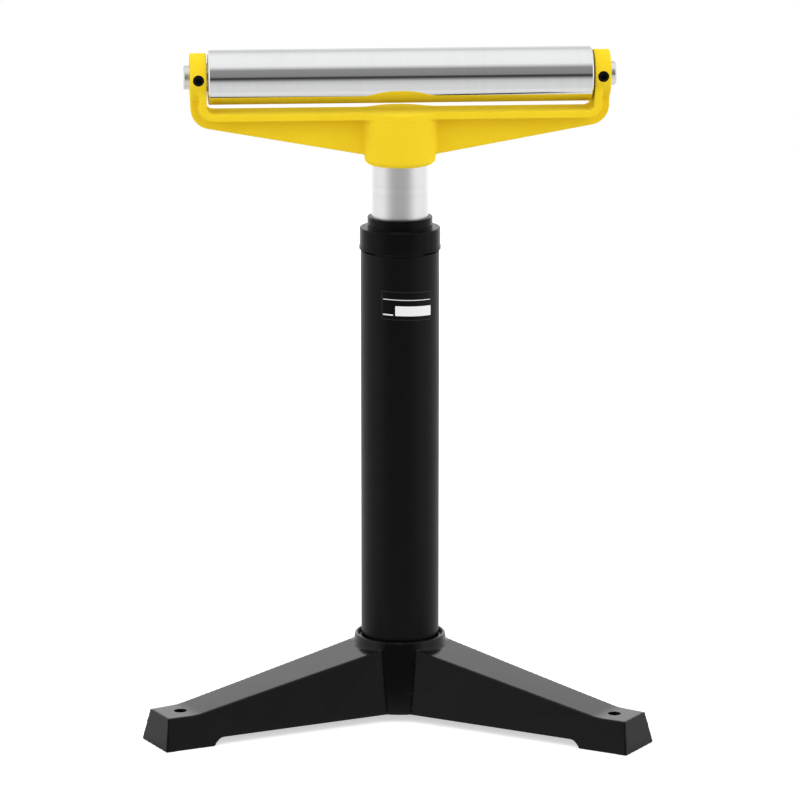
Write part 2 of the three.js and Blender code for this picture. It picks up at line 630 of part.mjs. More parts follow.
/** The yoke casting: U-shaped flange, set-back web, hub with the post socket, two eared bosses. */
function rollerYoke() {
  const webEnd = earOutside - WEB_INSET;
  const webHubFoot = flangeTop - WEB_DEPTH_AT_HUB;
  const webEarFoot = flangeTop - WEB_DEPTH_AT_EAR;
  const half = FLANGE_THICKNESS / 2;
  const webSide = outline([
    [-webEnd, axleHeight],
    [-webEnd, webEarFoot, WEB_CORNER],
    [-YOKE_HUB_BOTTOM / 2, webHubFoot],
    [YOKE_HUB_BOTTOM / 2, webHubFoot],
    [webEnd, webEarFoot, WEB_CORNER],
    [webEnd, axleHeight],
    [earInside + half, axleHeight],
    [earInside + half, flangeTop - half],
    [-earInside - half, flangeTop - half],
    [-earInside - half, axleHeight],
  ]);
  const outside = earInside + FLANGE_THICKNESS;
  const strip = outline([
    [-outside, axleHeight],
    [-outside, flangeTop - FLANGE_THICKNESS, FLANGE_FILLET + FLANGE_THICKNESS],
    [outside, flangeTop - FLANGE_THICKNESS, FLANGE_FILLET + FLANGE_THICKNESS],
    [outside, axleHeight],
    [earInside, axleHeight],
    [earInside, flangeTop, FLANGE_FILLET],
    [-earInside, flangeTop, FLANGE_FILLET],
    [-earInside, axleHeight],
  ]);
  const webHub = hubPlan(webEnd + CUT, WEB_THICKNESS / 2, YOKE_HUB_BOTTOM / 2, WEB_FILLET);
  const web = extruded(webHub, axleHeight - webHubFoot).translate(0, 0, webHubFoot);
  const saddlePlan = hubPlan(earInside / 2, FLANGE_DEPTH / 2 - FIT, YOKE_HUB_TOP / 2, FLANGE_BLEND);
  const saddle = extruded(saddlePlan, FLANGE_THICKNESS).translate(0, 0, flangeTop - FLANGE_THICKNESS);
  const hub = turned([
    [0, yokeFoot],
    ...arcPoints(YOKE_HUB_BOTTOM / 2 - YOKE_HUB_EDGE, yokeFoot + YOKE_HUB_EDGE, YOKE_HUB_EDGE, -90, 0),
    [YOKE_HUB_TOP / 2, flangeTop],
    [0, flangeTop],
  ]);
  let body = solid(web)
    .intersect(solid(slab(webSide, YOKE_HUB_TOP)))
    .add(solid(slab(strip, FLANGE_DEPTH)))
    .add(solid(saddle))
    .add(solid(hub));
  const boss = turned([
    [0, earInside],
    [EAR_RADIUS - EAR_EDGE / 2, earInside],
    [EAR_RADIUS, earInside + EAR_EDGE / 2],
    [EAR_RADIUS, earOutside - EAR_EDGE],
    [EAR_RADIUS - EAR_EDGE, earOutside],
    [0, earOutside],
  ], BEARING_ROUND);
  const ear = solid(toX(boss)).translate(0, 0, axleHeight);
  body = body.add(ear).add(ear.rotate(0, 0, 180));
  const axleBore = toX(bar(axleRadius + FIT, -earOutside - CUT, earOutside + CUT, BEARING_ROUND));
  const socket = bar(postRadius + FIT, yokeFoot - CUT, flangeTop - SOCKET_ROOF);
  body = body.subtract(solid(axleBore.translate(0, 0, axleHeight))).subtract(solid(socket));
  const axleScrewHole = toY(bar(AXLE_SCREW.diameter / 2 + FIT, -EAR_RADIUS - CUT, 0, SMALL_ROUND));
  const yokeScrewHole = toX(bar(YOKE_SCREW.diameter / 2 + FIT, yokeScrewReach, YOKE_HUB_TOP, SMALL_ROUND));
  for (const side of [-1, 1]) {
    const heading = 90 + side * YOKE_SCREW.angle;
    body = body
      .subtract(solid(axleScrewHole).translate(side * earMiddle, 0, axleHeight))
      .subtract(solid(yokeScrewHole).rotate(0, 0, heading).translate(0, 0, yokeScrewHeight));
  }
  return body;
}

// Places along the axle, measured outwards from the middle of the roller
const bearingFace = ROLLER_LENGTH / 2 - BEARING_INSET;
const bearingBack = bearingFace - BEARING_WIDTH;
const bearingMiddle = bearingFace - BEARING_WIDTH / 2;
const bearingRadius = BEARING_DIAMETER / 2;
const ballRadius = BALL_DIAMETER / 2;
const ballPitch = (bearingRadius + axleRadius) / 2;
const innerLand = axleRadius + RACE_LAND;
const outerLand = bearingRadius - RACE_LAND;

/** The roller tube, counterbored and grooved at both ends for its bearings. */
function rollerTube() {
  const end = ROLLER_LENGTH / 2;
  const seat = bearingRadius + FIT;
  const grooveFrom = bearingFace + SEAT - FIT / 2;
  const grooveTo = bearingFace + SEAT + CIRCLIP_THICKNESS + FIT;
  const half = [
    [ROLLER_BORE / 2, bearingBack - SEAT],
    [seat, bearingBack - SEAT],
    [seat, grooveFrom],
    [seat + CIRCLIP_GROOVE, grooveFrom],
    [seat + CIRCLIP_GROOVE, grooveTo],
    [seat, grooveTo],
    [seat, end],
    [rollerRadius - ROLLER_EDGE, end],
    [rollerRadius, end - ROLLER_EDGE],
  ];
  const mirrored = half.map(([radius, along]) => [radius, -along]);
  return solid(toX(turned([...mirrored, ...half.reverse()])));
}

/** The axle, chamfered at both ends, with a flat under each grub screw. */
function axle() {
  const end = earOutside + AXLE_STICKOUT;
  let body = solid(toX(turned([
    [0, -end],
    [axleRadius - AXLE_CHAMFER, -end],
    [axleRadius, -end + AXLE_CHAMFER],
    [axleRadius, end - AXLE_CHAMFER],
    [axleRadius - AXLE_CHAMFER, end],
    [0, end],
  ], BEARING_ROUND)));
  for (const side of [-1, 1]) {
    const flat = new THREE.BoxGeometry(AXLE_SCREW.diameter + CUT, 2 * AXLE_FLAT_DEPTH, AXLE_DIAMETER);
    body = body.subtract(solid(flat.translate(side * earMiddle, -axleRadius, 0)));
  }
  return body;
}

/** The arc of a ball groove in a ring whose land has the given radius. */
function ballGroove(land) {
  const radius = ballRadius + BALL_GAP;
  const reach = THREE.MathUtils.radToDeg(Math.acos(Math.abs(land - ballPitch) / radius));
  const middle = land < ballPitch ? 180 : 0;
  const turn = land < ballPitch ? -reach : reach;
  return arcPoints(ballPitch, bearingMiddle, radius, middle - turn, middle + turn);
}

/** The fixed inner ring of a bearing, with its ball groove. */
function bearingInner() {
  const bore = axleRadius + FIT;
  return solid(toX(turned([
    [bore, bearingBack],
    [innerLand, bearingBack],
    ...ballGroove(innerLand),
    [innerLand, bearingFace],
    [bore, bearingFace],
  ], BEARING_ROUND)));
}

/** The outer ring of a bearing, which turns with the roller. */
function bearingOuter() {
  return solid(toX(turned([
    [bearingRadius, bearingBack],
    [bearingRadius, bearingFace],
    [outerLand, bearingFace],
    ...ballGroove(outerLand).reverse(),
    [outerLand, bearingBack],
  ], BEARING_ROUND)));
}

/** The ball cage: a ring with a round pocket for each ball. */
function bearingCage() {
  const pocketRadius = ballRadius + BALL_GAP;
  const half = pocketRadius + CAGE_BRIDGE;
  const inside = ballPitch - CAGE_THICKNESS / 2;
  let body = solid(toX(ring(inside, inside + CAGE_THICKNESS, -half, half, BEARING_ROUND)));
  const pocket = toY(bar(pocketRadius, ballPitch - CAGE_THICKNESS, ballPitch + CAGE_THICKNESS, BALL_ROUND));
  for (let i = 0; i < BALL_COUNT; i += 1) {
    body = body.subtract(solid(pocket).rotate((360 / BALL_COUNT) * i, 0, 0));
  }
  return body.translate(bearingMiddle, 0, 0);
}

/** A bearing shield, a thin washer held in the outer ring. */
function bearingShield(from) {
  return solid(toX(ring(innerLand + RUN, outerLand - FIT, from, from + SHIELD_THICKNESS, BEARING_ROUND)));
}

/** The open retaining ring that keeps a bearing in the roller. */
function circlip() {
  const from = bearingFace + SEAT;
  const outside = bearingRadius + CIRCLIP_GROOVE;
  const body = ring(outside - CIRCLIP_WIDTH, outside, from, from + CIRCLIP_THICKNESS, BEARING_ROUND);
  const gap = new THREE.BoxGeometry(BEARING_DIAMETER, CIRCLIP_OPENING, bearingRadius);
  return solid(toX(body)).subtract(solid(gap.translate(bearingFace, 0, -bearingRadius)));
}

/** The sleeve on the axle between a bearing and its ear. */
function axleSpacer() {
  const inside = axleRadius + FIT;
  return solid(toX(ring(inside, inside + SPACER_WALL, bearingFace + SEAT, earInside - SEAT, BEARING_ROUND)));
}

/** Everything that repeats at each end of the roller, built outwards along +X. */
function rollerEnd(side) {
  const end = new THREE.Group();
  end.add(piece(`bearing_inner_${side}`, bearingInner(), BRIGHT_STEEL));
  end.add(piece(`bearing_outer_${side}`, bearingOuter(), BRIGHT_STEEL));
  end.add(piece(`bearing_cage_${side}`, bearingCage(), BRASS));
  const frontShield = bearingFace - SHIELD_INSET - SHIELD_THICKNESS;
  end.add(piece(`bearing_front_shield_${side}`, bearingShield(frontShield), BRIGHT_STEEL));
  end.add(piece(`bearing_back_shield_${side}`, bearingShield(bearingBack + SHIELD_INSET), BRIGHT_STEEL));
  end.add(piece(`circlip_${side}`, circlip(), BLACK_OXIDE));
  end.add(piece(`axle_spacer_${side}`, axleSpacer(), BRIGHT_STEEL));
  const ball = solid(new THREE.SphereGeometry(ballRadius, BALL_ROUND, BALL_ROUND / 2));
  for (let i = 0; i < BALL_COUNT; i += 1) {
    const angle = (2 * Math.PI * i) / BALL_COUNT;
    const mesh = piece(`bearing_ball_${side}_${i + 1}`, ball, BRIGHT_STEEL);
    mesh.position.set(bearingMiddle, ballPitch * Math.cos(angle), ballPitch * Math.sin(angle));
    end.add(mesh);
  }
  return end;
}

/** A grub screw laid along the heading of its hole, tip towards the middle. */
function radialScrew(name, screw, reach, height, heading) {
  const body = grubScrew(screw.diameter, screw.length, screw.hexagon, screw.depth);
  const mesh = piece(name, body.rotate(0, 90, 0).translate(reach, 0, 0), BLACK_OXIDE);
  mesh.position.z = height;
  mesh.rotation.z = radians(heading);
  return mesh;
}

/** The swivelling head: post, yoke, axle, roller and bearings. */
function head() {
  const group = new THREE.Group();
  group.add(piece("inner_post", innerPost(), SATIN_STEEL));
  group.add(piece("post_plug", postPlug(), BLACK_OXIDE));
  const pin = bar(PIN_DIAMETER / 2, -postRadius + FIT, postRadius - FIT, SMALL_ROUND);
  group.add(piece("plug_pin", solid(toX(pin).translate(0, 0, plugPinHeight)), BRIGHT_STEEL));
  group.add(piece("bush_retainer", bushRetainer(), BLACK_OXIDE));
  group.add(piece("roller_yoke", rollerYoke(), YELLOW_ENAMEL));

  const rollerAxis = new THREE.Group();
  rollerAxis.position.z = axleHeight;
  rollerAxis.add(piece("axle", axle(), BRIGHT_STEEL));
  rollerAxis.add(piece("roller_tube", rollerTube(), CHROME));
  const right = rollerEnd("right");
  const left = rollerEnd("left");
  left.rotation.z = Math.PI;
  rollerAxis.add(right, left);
  group.add(rollerAxis);

  const axleScrewReach = axleRadius - AXLE_FLAT_DEPTH + FIT;
  const axleScrew = { ...AXLE_SCREW, length: EAR_RADIUS - axleScrewReach };
  for (const [side, sign] of [["left", -1], ["right", 1]]) {
    const axleGrub = radialScrew(`axle_set_screw_${side}`, axleScrew, axleScrewReach, axleHeight, -90);
    axleGrub.position.x = sign * earMiddle;
    const heading = 90 - sign * YOKE_SCREW.angle;
    const tip = yokeScrewReach + FIT;
    const yokeGrub = radialScrew(`yoke_set_screw_${side}`, YOKE_SCREW, tip, yokeScrewHeight, heading);
    group.add(axleGrub, yokeGrub);
  }
  group.rotation.z = radians(HEAD_TURN);
  return group;
}

/** The clamp at the back of the collar: pad, screw, lever and knob. */
function clamp() {
  const group = new THREE.Group();
  const screwRadius = LOCK_SCREW_DIAMETER / 2;
  const pad = toY(bar(screwRadius - FIT, padStart, padStart + LOCK_PAD_LENGTH, SMALL_ROUND));
  const screw = toY(bar(screwRadius, lockScrewStart, bossEnd, SMALL_ROUND));
  group.add(piece("pressure_pad", solid(pad.translate(0, 0, lockHeight)), BRASS));
  group.add(piece("lock_screw", solid(screw.translate(0, 0, lockHeight)), BLACK_OXIDE));
  group.add(piece("lock_lever", lockLever(), BLACK_PAINT));
  group.add(piece("lever_knob", leverKnob(), BLACK_PLASTIC));
  return group;
}

/** The parts that stand still: base, column and collar, and the bolt that holds the column. */
function pedestal() {
  const group = new THREE.Group();
  group.add(piece("base_casting", baseCasting(), BLACK_PAINT));
  group.add(piece("outer_column", solid(ring(columnBore, columnRadius, columnFoot, columnTop)), BLACK_PAINT));
  group.add(piece("column_collar", columnCollar(), BLACK_PAINT));
  group.add(piece("column_foot_plate", footPlate(), BLACK_OXIDE));
  group.add(piece("base_bolt", baseBolt(), BRIGHT_STEEL));
  const washer = ring(boltBore, WASHER_DIAMETER / 2, washerFoot, hubRoofFoot - SEAT, BEARING_ROUND);
  group.add(piece("base_washer", solid(washer), BRIGHT_STEEL));
  return group;
}

const guideBush = solid(ring(postRadius + RUN, columnBore - RUN, postFoot, bushTop));

// The column stands forward of the middle of the footprint, because the third leg points back
const frontHeading = Math.PI / 2 - Math.PI / LEG_COUNT;
const frontReach = SOLE_REACH * Math.sin(frontHeading) + (FOOT_WIDTH / 2) * Math.cos(frontHeading);
const stand = new THREE.Group();
stand.name = "roller_stand";
stand.position.y = (frontReach - SOLE_REACH) / 2;
stand.add(pedestal(), clamp(), piece("guide_bush", guideBush, NYLON), head());

export default stand;
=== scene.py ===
"""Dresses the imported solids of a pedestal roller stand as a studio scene.

A cast tripod carries a telescoping column, and a swivelling yoke on top of the column
carries a chromed roller. Lengths are metres in the frame of the solids: +Z is up, and
the viewer stands on the -Y side.
"""

import json
import logging
import math
from collections.abc import Callable, Sequence
from dataclasses import dataclass
from enum import Enum
from typing import Any

import bmesh
import bpy
from mathutils import Matrix, Vector


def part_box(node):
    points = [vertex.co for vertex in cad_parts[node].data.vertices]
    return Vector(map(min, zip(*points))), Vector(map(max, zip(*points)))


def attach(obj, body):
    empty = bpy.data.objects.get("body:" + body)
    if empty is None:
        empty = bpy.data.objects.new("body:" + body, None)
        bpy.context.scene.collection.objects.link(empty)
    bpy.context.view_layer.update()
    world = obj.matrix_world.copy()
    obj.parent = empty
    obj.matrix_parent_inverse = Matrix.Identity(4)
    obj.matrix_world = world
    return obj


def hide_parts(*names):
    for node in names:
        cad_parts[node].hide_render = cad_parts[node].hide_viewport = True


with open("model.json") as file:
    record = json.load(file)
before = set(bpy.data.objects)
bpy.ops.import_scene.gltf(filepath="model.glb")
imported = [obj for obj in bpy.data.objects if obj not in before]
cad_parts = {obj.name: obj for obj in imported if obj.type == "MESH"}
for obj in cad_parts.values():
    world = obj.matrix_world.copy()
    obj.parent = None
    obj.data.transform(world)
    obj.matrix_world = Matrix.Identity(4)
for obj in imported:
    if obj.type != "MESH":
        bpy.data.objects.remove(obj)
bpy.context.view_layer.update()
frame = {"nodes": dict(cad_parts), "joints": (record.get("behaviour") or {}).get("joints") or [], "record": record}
LOG = logging.getLogger("roller_stand")

Point = tuple[float, float]
Corner = tuple[float, float, float]
Direction = tuple[float, float, float]
Colour = tuple[float, float, float, float]

MM = 0.001
ROUND = 128
SMALL_ROUND = 64
HEXAGON = 6
ARC_STEPS = 8
RIM_STEPS = 4
EDGE_STEPS = 3
RELAX_SHARE = 0.5  # how far each pass moves a point towards the middle of its neighbours
CUT = 2 * MM  # how far a cutter runs past the face it opens
SHARP_ANGLE = math.radians(38)
EAR_GAP = 0.2 * MM  # between an ear and the spacer inside it
VIEW_HEIGHT = 0.300  # of the point that the camera looks at
UPRIGHT = (0.0, 0.0, 1.0)
ACROSS = (0.0, 1.0, 0.0)

BODY_OF = {
    node: body
    for body, nodes in frame["record"]["behaviour"]["bodies"].items()
    for node in nodes
}


class Coat(Enum):
    """The finishes of the stand, named as the record's material slots."""

    CAST_BLACK = "black_cast_paint"
    TUBE_BLACK = "black_tube_paint"
    COLLAR_BLACK = "black_collar_paint"
    YELLOW = "yellow_enamel"
    POST_STEEL = "satin_post_steel"
    CHROME = "chromed_roller"
    BRIGHT_STEEL = "bright_steel"
    BEARING_STEEL = "bearing_steel"
    BLACK_OXIDE = "black_oxide_steel"
    CAGE_BRASS = "brass_cage"
    PAD_BRASS = "brass_pad"
    NYLON = "nylon"
    KNOB_PLASTIC = "black_knob_plastic"


class Side(Enum):
    """The two ends of the roller, by their sign along the roller's axis."""

    LEFT = -1
    RIGHT = 1

    @property
    def label(self) -> str:
        """The word that the nodes of this side end in."""
        return self.name.lower()


def arc(middle: Point, radius: float, start: float, end: float, steps: int = ARC_STEPS) -> list[Point]:
    """Lays points along an arc.

    Args:
        middle: Centre of the arc.
        radius: Its radius.
        start: Angle of the first point in degrees.
        end: Angle of the last point in degrees.
        steps: Number of stretches between the points.

    Returns:
        The points in order.
    """
    angles = [math.radians(start + (end - start) * i / steps) for i in range(steps + 1)]
    return [(middle[0] + radius * math.cos(a), middle[1] + radius * math.sin(a)) for a in angles]


def bend(start: Point, control: Point, end: Point, steps: int = ARC_STEPS) -> list[Point]:
    """Lays points along a quadratic curve.

    Args:
        start: First point.
        control: Point that pulls the curve.
        end: Last point.
        steps: Number of stretches between the points.

    Returns:
        The points in order.
    """
    points = []
    for i in range(steps + 1):
        t = i / steps
        weights = ((1 - t) ** 2, 2 * t * (1 - t), t**2)
        points.append(tuple(
            sum(weight * point[axis] for weight, point in zip(weights, (start, control, end)))
            for axis in range(2)
        ))
    return points


def rounded(corners: Sequence[Corner], steps: int = ARC_STEPS) -> list[Point]:
    """Rounds the corners of a closed outline.

    Args:
        corners: The corners as (x, y, radius of the rounding).
        steps: Number of stretches in each rounding.

    Returns:
        The points of the rounded outline.
    """
    points: list[Point] = []
    for i, (x, y, radius) in enumerate(corners):
        corner = Vector((x, y))
        before = (Vector(corners[i - 1][:2]) - corner).normalized()
        after = (Vector(corners[(i + 1) % len(corners)][:2]) - corner).normalized()
        if radius <= 0:
            points.append((x, y))
            continue
        half = math.acos(max(-1.0, min(1.0, before.dot(after)))) / 2
        middle = corner + (before + after).normalized() * (radius / math.sin(half))
        first = corner + before * (radius / math.tan(half)) - middle
        last = corner + after * (radius / math.tan(half)) - middle
        sweep = math.atan2(first.x * last.y - first.y * last.x, first.dot(last))
        for step in range(steps + 1):
            turned = Matrix.Rotation(sweep * step / steps, 2) @ first
            points.append(tuple(middle + turned))
    return points


def hexagon(radius: float) -> list[Point]:
    """Lays the corners of a hexagon at a radius from its middle."""
    return arc((0, 0), radius, 0, 300, HEXAGON - 1)


@dataclass(frozen=True)
class Place:
    """A local frame on the column axis: its foot on the floor and its heading about Z."""

    x: float
    y: float
    heading: float = 0.0

    @property
    def matrix(self) -> Matrix:
        """The move from this frame into the frame of the solids."""
        return Matrix.Translation((self.x, self.y, 0)) @ Matrix.Rotation(self.heading, 4, "Z")

    def span(self, node: str) -> tuple[Vector, Vector]:
        """Measures a node of the solids in this frame.

        Args:
            node: Name of the node.

        Returns:
            Its lowest and highest corners.
        """
        back = self.matrix.inverted()
        points = [back @ vertex.co for vertex in frame["nodes"][node].data.vertices]
        low = Vector(min(point[axis] for point in points) for axis in range(3))
        high = Vector(max(point[axis] for point in points) for axis in range(3))
        return low, high

    def middle(self, node: str) -> Vector:
        """The middle of a node's box in this frame."""
        low, high = self.span(node)
        return (low + high) / 2


class Form:
    """A closed mesh in the making, which is shaped, joined and cut before it is shown."""

    def __init__(self, name: str, vertices: Sequence[Vector], faces: Sequence[Sequence[int]]) -> None:
        """Makes the mesh.

        Args:
            name: Name of the piece.
            vertices: Its points.
            faces: The indices of the points round each face.
        """
        mesh = bpy.data.meshes.new(name)
        mesh.from_pydata(vertices, [], faces)
        self.thing = bpy.data.objects.new(name, mesh)
        bpy.context.scene.collection.objects.link(self.thing)
        work = bmesh.new()
        work.from_mesh(mesh)
        bmesh.ops.recalc_face_normals(work, faces=work.faces)
        work.to_mesh(mesh)
        work.free()

    @classmethod
    def turned(cls, name: str, profile: Sequence[Point], segments: int = ROUND) -> "Form":
        """Revolves a profile round Z.

        Args:
            name: Name of the piece.
            profile: Points as (radius, height). It starts and ends on the axis or is closed.
            segments: Number of facets round the turn.

        Returns:
            The turned form.
        """
        vertices: list[Vector] = []
        rings: list[list[int]] = []
        for radius, height in profile:
            count = segments if radius > 0 else 1
            rings.append(list(range(len(vertices), len(vertices) + count)))
            for i in range(count):
                angle = 2 * math.pi * i / segments
                vertices.append(Vector((radius * math.cos(angle), radius * math.sin(angle), height)))
        faces: list[tuple[int, ...]] = []
        closed = profile[0][0] > 0
        pairs = zip(rings, rings[1:] + rings[:1]) if closed else zip(rings, rings[1:])
        for low, high in pairs:
            for i in range(segments):
                following = (i + 1) % segments
                corners = [low[i % len(low)], low[following % len(low)]]
                corners += [high[following % len(high)], high[i % len(high)]]
                faces.append(tuple(dict.fromkeys(corners)))
        return cls(name, vertices, [face for face in faces if len(face) > 2])

    @classmethod
    def rod(cls, name: str, radius: float, low: float, high: float, segments: int = SMALL_ROUND) -> "Form":
        """Makes a plain round bar along Z from one height to another."""
        return cls.turned(name, [(0, low), (radius, low), (radius, high), (0, high)], segments)

    @classmethod
    def ring(cls, name: str, inside: float, outside: float, low: float, high: float, edge: float) -> "Form":
        """Makes a ring round Z between two radii and two heights, with rounded edges."""
        corners = [(inside, low), (outside, low), (outside, high), (inside, high)]
        return cls.turned(name, rounded([(*corner, edge) for corner in corners], EDGE_STEPS))

    @classmethod
    def lofted(cls, name: str, rings: Sequence[Sequence[Vector]]) -> "Form":
        """Joins closed rings of equally many points by a skin and closes both ends.

        Args:
            name: Name of the piece.
            rings: The rings in order.

        Returns:
            The lofted form.
        """
        count = len(rings[0])
        vertices = [point for ring in rings for point in ring]
        faces: list[Sequence[int]] = [range(count), range(len(vertices) - count, len(vertices))]
        for level in range(len(rings) - 1):
            base = level * count
            for i in range(count):
                j = (i + 1) % count
                faces.append((base + i, base + j, base + count + j, base + count + i))
        return cls(name, vertices, [tuple(face) for face in faces])

    @classmethod
    def extruded(cls, name: str, outline: Sequence[Point], low: float, high: float) -> "Form":
        """Extrudes an outline in X and Y from one height to another.

        Args:
            name: Name of the piece.
            outline: The closed outline.
            low: Lower height.
            high: Upper height.

        Returns:
            The extruded form.
        """
        return cls.lofted(name, [[Vector((x, y, z)) for x, y in outline] for z in (low, high)])

    @classmethod
    def slab(cls, name: str, low: Corner, high: Corner) -> "Form":
        """Makes a block between its lowest and its highest corner."""
        outline = [(low[0], low[1]), (high[0], low[1]), (high[0], high[1]), (low[0], high[1])]
        return cls.extruded(name, outline, low[2], high[2])

    @classmethod
    def drafted(
        cls, name: str, outline: Sequence[Point], half_width: Callable[[float, float], float]
    ) -> "Form":
        """Gives a side view in X and Z a width on both sides.

        Args:
            name: Name of the piece.
            outline: The closed side view.
            half_width: Half the width at a given X and Z.

        Returns:
            The form, centred on the XZ plane.
        """
        rings = [[Vector((x, side * half_width(x, z), z)) for x, z in outline] for side in (-1, 1)]
        return cls.lofted(name, rings)

    @classmethod
    def threaded(cls, name: str, radius: float, pitch: float, depth: float, length: float) -> "Form":
        """Makes a bar along Z with a helical thread from end to end.

        Args:
            name: Name of the piece.
            radius: Outer radius of the thread.
            pitch: Rise of the thread in one turn.
            depth: Depth of the thread.
            length: Length of the bar.

        Returns:
            The threaded bar, standing on the XY plane.
        """
        levels = max(2, round(length / pitch * HEXAGON))
        rings = []
        for level in range(levels + 1):
            height = length * level / levels
            ring = []
            for i in range(SMALL_ROUND):
                share = i / SMALL_ROUND
                flank = abs(2 * ((height / pitch - share) % 1) - 1)
                reach = radius - depth * flank
                angle = 2 * math.pi * share
                ring.append(Vector((reach * math.cos(angle), reach * math.sin(angle), height)))
            rings.append(ring)
        return cls.lofted(name, rings)

    def moved(self, matrix: Matrix) -> "Form":
        """Moves the mesh and returns the form."""
        self.thing.data.transform(matrix)
        return self

    def lifted(self, x: float = 0.0, y: float = 0.0, z: float = 0.0) -> "Form":
        """Shifts the mesh and returns the form."""
        return self.moved(Matrix.Translation((x, y, z)))

    def along_x(self) -> "Form":
        """Lays a form that stands on Z along X."""
        return self.moved(Matrix.Rotation(math.pi / 2, 4, "Y"))

    def along_y(self) -> "Form":
        """Lays a form that stands on Z along Y."""
        return self.moved(Matrix.Rotation(-math.pi / 2, 4, "X"))

    def spun(self, angle: float) -> "Form":
        """Turns the form about Z by an angle in radians."""
        return self.moved(Matrix.Rotation(angle, 4, "Z"))

    def joined(self, *others: "Form") -> "Form":
        """Takes the meshes of other forms in, as they are.

        Args:
            others: The forms, which are used up.

        Returns:
            This form.
        """
        work = bmesh.new()
        work.from_mesh(self.thing.data)
        for other in others:
            work.from_mesh(other.thing.data)
            other.discard()
        work.to_mesh(self.thing.data)
        work.free()
        return self

    def discard(self) -> None:
        """Deletes the form."""
        mesh = self.thing.data
        bpy.data.objects.remove(self.thing)
        bpy.data.meshes.remove(mesh)

    def cut(self, *tools: "Form") -> "Form":
        """Takes other forms away from this one.

        Args:
            tools: The cutters, which are used up.

        Returns:
            This form.
        """
        for tool in tools:
            self._combine(tool, "DIFFERENCE")
        return self

    def within(self, other: "Form") -> "Form":
        """Keeps only what lies inside another form, which is used up."""
        self._combine(other, "INTERSECT")
        return self

    def _combine(self, tool: "Form", operation: str) -> None:
        """Applies a boolean with another form, which is used up."""
        modifier = self.thing.modifiers.new("combine", "BOOLEAN")
        modifier.object = tool.thing
        modifier.operation = operation
        modifier.solver = "EXACT"
        self._apply()
        tool.discard()

    def fused(self, grain: float, passes: int, kept: float) -> "Form":
        """Melts overlapping closed meshes into one skin with cast, rounded edges.

        Args:
            grain: Size of the cells of the new skin.
            passes: How often the skin is relaxed, which sets the size of the roundings.
            kept: Share of the faces that is kept when the flat stretches are thinned out.

        Returns:
            This form.
        """
        remesh = self.thing.modifiers.new("fuse", "REMESH")
        remesh.mode = "VOXEL"
        remesh.voxel_size = grain
        relax = self.thing.modifiers.new("relax", "SMOOTH")
        relax.factor = RELAX_SHARE
        relax.iterations = passes
        thin = self.thing.modifiers.new("thin", "DECIMATE")
        thin.ratio = kept
        self._apply()
        return self

    def _apply(self) -> None:
        """Bakes the modifiers into the mesh."""
        graph = bpy.context.evaluated_depsgraph_get()
        mesh = bpy.data.meshes.new_from_object(self.thing.evaluated_get(graph))
        self.thing.modifiers.clear()
        old = self.thing.data
        self.thing.data = mesh
        bpy.data.meshes.remove(old)

    def shaded(self) -> bpy.types.Object:
        """Shades the form smoothly up to its sharp edges and returns its object."""
        mesh = self.thing.data
        mesh.polygons.foreach_set("use_smooth", [True] * len(mesh.polygons))
        mesh.set_sharp_from_angle(angle=SHARP_ANGLE)
        weigh = self.thing.modifiers.new("weigh", "WEIGHTED_NORMAL")
        weigh.keep_sharp = True
        self._apply()
        return self.thing


class Graph:
    """A node tree with short calls to add and link nodes."""

    def __init__(self, tree: bpy.types.NodeTree) -> None:
        """Takes a node tree over and empties it."""
        self.tree = tree
        tree.nodes.clear()

    def add(self, kind: str, sockets: dict[str | int, Any] | None = None, **settings: Any) -> bpy.types.Node:
        """Adds a node.

        Args:
            kind: The node's type.
            sockets: Values or outputs of other nodes for its inputs.
            settings: Its other properties.

        Returns:
            The node.
        """
        node = self.tree.nodes.new(kind)
        for name, value in settings.items():
            setattr(node, name, value)
        for key, value in (sockets or {}).items():
            if isinstance(value, bpy.types.NodeSocket):
                self.tree.links.new(value, node.inputs[key])
            else:
                node.inputs[key].default_value = value
        return node

    def math(self, operation: str, *values: Any) -> bpy.types.NodeSocket:
        """Adds a sum of one to three values.

        Args:
            operation: The kind of sum.
            values: Numbers or outputs of other nodes.

        Returns:
            The result's socket.
        """
        return self.add("ShaderNodeMath", dict(enumerate(values)), operation=operation).outputs[0]

    def blend(self, mask: Any, first: Any, second: Any) -> bpy.types.NodeSocket:
        """Mixes two colours by a mask and returns the result's socket."""
        sockets = {0: mask, 6: first, 7: second}
        return self.add("ShaderNodeMix", sockets, data_type="RGBA").outputs[2]

    def spread(self, value: Any, low: float, high: float, first: float = 0.0, last: float = 1.0) -> Any:
        """Maps a stretch of a value onto another stretch.

        Args:
            value: The value's socket.
            low: Start of its stretch.
            high: End of its stretch.
            first: What the start becomes.
            last: What the end becomes.

        Returns:
            The result's socket.
        """
        sockets = {"Value": value, 1: low, 2: high, 3: first, 4: last}
        return self.add("ShaderNodeMapRange", sockets).outputs[0]

    def noise(self, scale: Any, detail: float = 3.0, where: Any = None) -> bpy.types.NodeSocket:
        """Adds a noise over the object's own coordinates or a given vector."""
        where = where or self.add("ShaderNodeTexCoord").outputs["Object"]
        return self.add("ShaderNodeTexNoise", {"Vector": where, "Scale": scale, "Detail": detail}).outputs[0]

    def bump(self, height: bpy.types.NodeSocket, depth: float) -> bpy.types.NodeSocket:
        """Raises a surface by a depth where a height is one."""
        sockets = {"Height": height, "Distance": depth, "Strength": 1.0}
        return self.add("ShaderNodeBump", sockets).outputs[0]


class Effect(Enum):
    """Surface effects that several finishes share, each a shader node group."""

    CAST_SKIN = "cast_skin"
    TURNED_GRAIN = "turned_grain"
    EDGE_WEAR = "edge_wear"
    SETTLED_DUST = "settled_dust"
    HANDLING_HAZE = "handling_haze"
    PRINTED_BLOCK = "printed_block"


